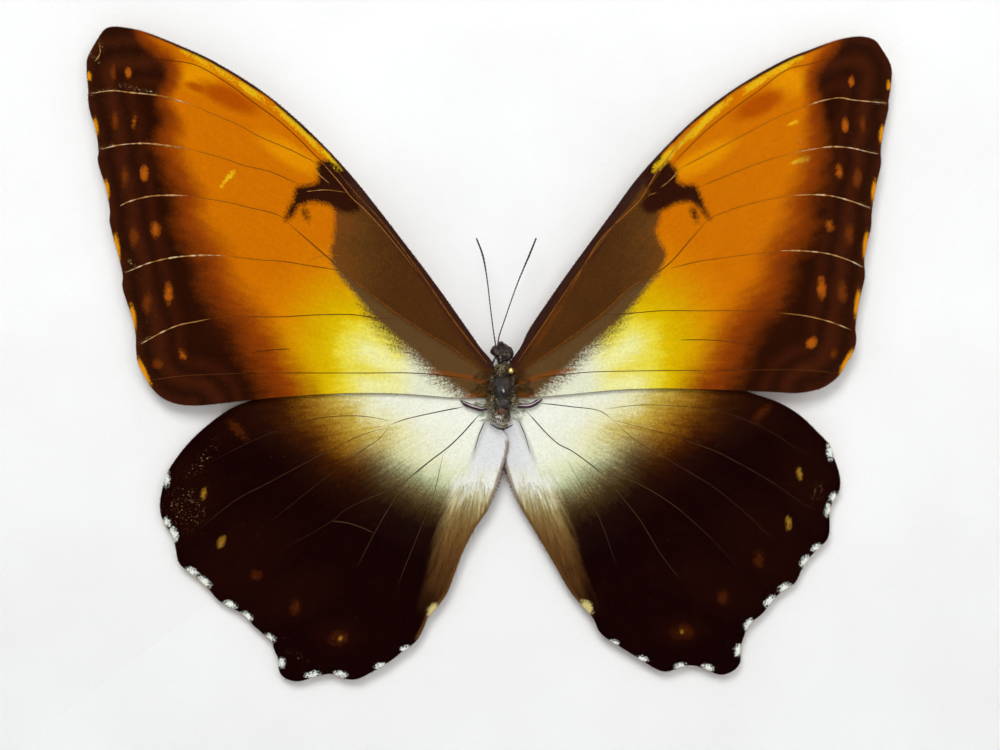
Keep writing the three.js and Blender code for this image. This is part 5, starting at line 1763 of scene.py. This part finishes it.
    def build_hair(self, shell: Piece) -> None:
        """Grows hair on the thorax and round the wing bases.

        Args:
            shell: The thorax.
        """
        rng = np.random.default_rng(21)
        places, normals = vertices_of(shell.data)
        side = smooth(1.2, 2.4, np.abs(places[:, 0]))
        collar = smooth(3.4, 4.6, places[:, 2] - SPECIMEN_Z)
        share = np.clip(side + 0.7 * collar + 0.05, 0, 1) * (normals[:, 1] < 0.35)
        keep = rng.uniform(size=len(places)) < 0.14 * share
        roots, normals = places[keep], normals[keep]
        flow = np.stack([0.5 * np.sign(roots[:, 0]), 0 * roots[:, 1], 0 * roots[:, 2] - 0.7], axis=1)
        aims = 0.7 * normals + flow + rng.normal(0, 0.35, roots.shape)
        reach = rng.uniform(0.4, 0.95, len(roots))
        pale = smooth(1, -3, roots[:, 2] - SPECIMEN_Z)
        tones = 0.16 + 0.6 * pale + rng.normal(0, 0.26, len(roots))
        bristles = [roots * MM, aims, reach, tones]
        hand_over(grow_bristles("thorax_hair", bristles, 0.035, self.hair, 5), "insect_body")

    def build_tufts(self, wings: list[Wing]) -> None:
        """Grows the hair that lies on the wings beside the body and along their inner edges.

        Args:
            wings: The wings.
        """
        rng = np.random.default_rng(22)
        rows = []
        for wing in wings:
            fore = wing.kind == "forewing"
            at = self.scatter(rng, TUFTS[wing.kind], 150 if fore else 90)
            at = at[within(at, wing.outline)]
            base = at[:, 1] > -8
            along = at - wing.root
            along /= np.linalg.norm(along, axis=1)[:, None]
            along[:, 0] = np.maximum(along[:, 0], 0.12)
            lean = np.where(base[:, None], (0.9, -0.3), along) + rng.normal(0, 0.1, at.shape)
            back = -rng.uniform(0.02, 0.2, len(at))
            aims = np.stack([wing.side.value * lean[:, 0], back, lean[:, 1]], axis=1)
            reach = np.where(base, rng.uniform(0.5, 1.2, len(at)), rng.uniform(1.4, 3, len(at)))
            shade = 0.8 - 0.65 * smooth(-19, -34, at[:, 1]) + rng.normal(0, 0.08, len(at))
            near = rng.uniform(0, 0.4, len(at)) if fore else rng.uniform(0.1, 1, len(at))
            rows.append((wing.surface(at, 0.3), aims, reach, np.where(base, near, shade)))
        bristles = [np.concatenate(part) for part in zip(*rows)]
        hand_over(grow_bristles("wing_base_hair", bristles, 0.03, self.hair, 6), "insect_body")

    def build(self, wings: list[Wing]) -> None:
        """Builds the whole body.

        Args:
            wings: The wings, for the hair that lies on them.
        """
        self.build_lumps("head", HEAD, HEAD_VOXEL)
        thorax = self.build_lumps("thorax", THORAX, THORAX_VOXEL)
        self.build_limbs()
        self.build_pin()
        self.build_hair(thorax)
        self.build_tufts(wings)


# The frame

@dataclass
class BoxFrame:
    """The wooden box: rails, glass, spacers, boards and the fixings at the back."""

    rail_round: float = 0.35
    tab_round: float = 0.12
    rivet_rim: float = 2.3
    rivet_shank: float = 1.1
    rivet_height: float = 0.9
    sides: tuple[str, ...] = ("bottom", "right", "top", "left")

    def build_rails(self) -> None:
        """Makes the four rails with rounded edges and grain along them."""
        wood = BlackWood().build()
        for number, word in enumerate(self.sides):
            piece = bevelled_copy(f"rail_{word}", self.rail_round, 3)
            order = [0, 1, 2] if word in ("bottom", "top") else [2, 1, 0]
            places = vertices_of(piece.data)[0][:, order]
            paint(piece.data, "grain", places + (400 * number, 0, 0))
            hand_over(piece, "black_wood", f"rail_{word}", material=wood)

    def build_inside(self) -> None:
        """Dresses the glass, and makes the spacers and the two boards."""
        pane = frame["nodes"]["glass"]
        pane.data.materials.clear()
        pane.data.materials.append(ClearGlass().build())
        pane.visible_shadow = False
        pane.visible_diffuse = False
        card, board = Card().build(), Card(name="White backing board").build()
        sheets = [(f"spacer_{word}", "white_card", card) for word in self.sides]
        sheets += [("backing_board", "white_board", board),
                   ("back_panel", "hardboard", Hardboard().build())]
        for node, slot, material in sheets:
            hand_over(bevelled_copy(node), slot, node, material=material)

    def build_fixings(self) -> None:
        """Makes the tabs, the sawtooth hanger and its rivets."""
        steel = Metal().build()
        tabs = [f"tab_{word}_{number}" for word in self.sides for number in (1, 2)]
        for node in [*tabs, "hanger"]:
            hand_over(bevelled_copy(node, self.tab_round), "steel", node, material=steel)
        turns = [0.5 * math.pi * step / 7 for step in range(1, 7)]
        for node in ("hanger_rivet_left", "hanger_rivet_right"):
            low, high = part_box(node)
            middle = (low + high) * 0.5 / MM
            start = low.y / MM
            top = high.y / MM - start
            foot, edge = top - self.rivet_height, 0.15
            profile = [(0, 0), (self.rivet_shank - edge, 0), (self.rivet_shank, edge),
                       (self.rivet_shank, foot), (self.rivet_rim, foot)]
            profile += [(self.rivet_rim * math.cos(turn), foot + self.rivet_height * math.sin(turn))
                        for turn in turns]
            piece = lathe(node, [*profile, (0, top)], (middle.x, start, middle.z), 28)
            hand_over(piece, "steel", node, material=steel)

    def build(self) -> None:
        """Builds the whole frame."""
        self.build_rails()
        self.build_inside()
        self.build_fixings()


# The studio

@dataclass
class Studio:
    """A pale floor, soft lights and a camera square to the specimen.

    Attributes:
        eye: The camera's place in millimetres.
        lens: Its focal length in millimetres.
        sky: How bright the world is.
        floor_reach: Half of the floor's width in metres.
        target: What the lights face, in metres.
        lights: Name, place and width in metres, and power in watts.
    """

    eye: Point = (-0.4, -597.0, 106.5)
    lens: float = 108.0
    sky: float = 0.3
    floor_reach: float = 3.0
    target: Point = (0.0, 0.0, 0.11)
    lights: tuple = (
        ("key_light", (-0.15, -1.25, 0.7), 0.5, 10.0), ("fill_light", (0.4, -1.3, 0.3), 0.6, 3.9),
        ("back_light", (-0.5, 1.2, 0.9), 0.9, 8.0))

    def build(self) -> None:
        """Sets up floor, world, lights, camera and view transform."""
        corners = [(-1, -1), (1, -1), (1, 1), (-1, 1)]
        floor = new_piece("floor", np.array([
            (self.floor_reach * x, self.floor_reach * y, 0) for x, y in corners]), [(0, 1, 2, 3)])
        paper = Card(name="Studio floor", light=(232, 232, 232), dark=(226, 226, 226))
        floor.data.materials.append(paper.build())
        scene = bpy.context.scene
        scene.world = bpy.data.worlds.new("Studio")
        scene.world.use_nodes = True
        background = scene.world.node_tree.nodes["Background"]
        background.inputs["Color"].default_value = (0.97, 0.98, 1, 1)
        background.inputs["Strength"].default_value = self.sky
        for name, place, size, power in self.lights:
            light = bpy.data.lights.new(name, "AREA")
            light.size = size
            light.energy = power
            lamp = add_object(name, light)
            lamp.location = place
            lamp.rotation_euler = (Vector(self.target) - Vector(place)).to_track_quat("-Z", "Y").to_euler()
        camera = bpy.data.cameras.new("camera")
        camera.lens = self.lens
        camera.sensor_width = 36
        camera.clip_start = 0.01
        scene.camera = add_object("camera", camera)
        scene.camera.location = [value * MM for value in self.eye]
        scene.camera.rotation_euler = (math.radians(90), 0, 0)
        scene.view_settings.view_transform = "Standard"


def main() -> None:
    """Builds the frame, the specimen and the studio."""
    logging.basicConfig(level=logging.INFO, format="%(name)s: %(message)s")
    for make_group in (make_speckle, make_ragged, make_fibre, make_tubes, make_bristles):
        make_group()
    BoxFrame().build()
    dark_veins = Strand(name="Hindwing veins", tones=(
        (0, 26, 10, 6), (0.25, 58, 36, 20), (0.5, 104, 82, 50), (0.75, 150, 128, 92),
        (1, 200, 190, 160))).build()
    fringe = Strand(name="Wing fringe", roughness=0.85, tones=(
        (0, 34, 10, 4), (0.25, 70, 34, 8), (0.5, 190, 124, 30), (0.75, 214, 190, 130),
        (1, 228, 232, 224))).build()
    hair = Strand(name="Body hair", flecks=0.2, tones=(
        (0, 38, 26, 14), (0.25, 80, 56, 28), (0.5, 128, 102, 58), (0.75, 186, 178, 134),
        (1, 226, 226, 206))).build()
    limb = Strand(name="Insect limbs", roughness=0.35, specular=0.3, flecks=0.3, tones=(
        (0, 40, 18, 18), (0.25, 62, 34, 36), (0.5, 92, 54, 58), (0.75, 140, 100, 108),
        (1, 214, 200, 212))).build()
    looks = WingLooks(
        {"forewing": ForewingScales().build(), "hindwing": HindwingScales().build()},
        Underside().build(), {"forewing": Strand().build(), "hindwing": dark_veins}, fringe)
    wings = [
        Forewing(Side.LEFT, FOREWING_LEFT, FOREWING_LEFT_MARKS, FOREWING_LEFT_VEINS, looks),
        Forewing(Side.RIGHT, FOREWING_RIGHT, FOREWING_RIGHT_MARKS, FOREWING_RIGHT_VEINS, looks),
        Hindwing(Side.LEFT, HINDWING_LEFT, HINDWING_LEFT_MARKS, HINDWING_LEFT_VEINS, looks, fold_depth=0.7),
        Hindwing(Side.RIGHT, HINDWING_RIGHT, HINDWING_RIGHT_MARKS, HINDWING_RIGHT_VEINS, looks,
                 fold_depth=1.6),
    ]
    for wing in wings:
        wing.build()
        wing.build_veins()
        wing.build_fringe()
    InsectBody(BodyShell().build(), limb, hair).build(wings)
    Studio().build()


if __name__ == "__main__":
    main()
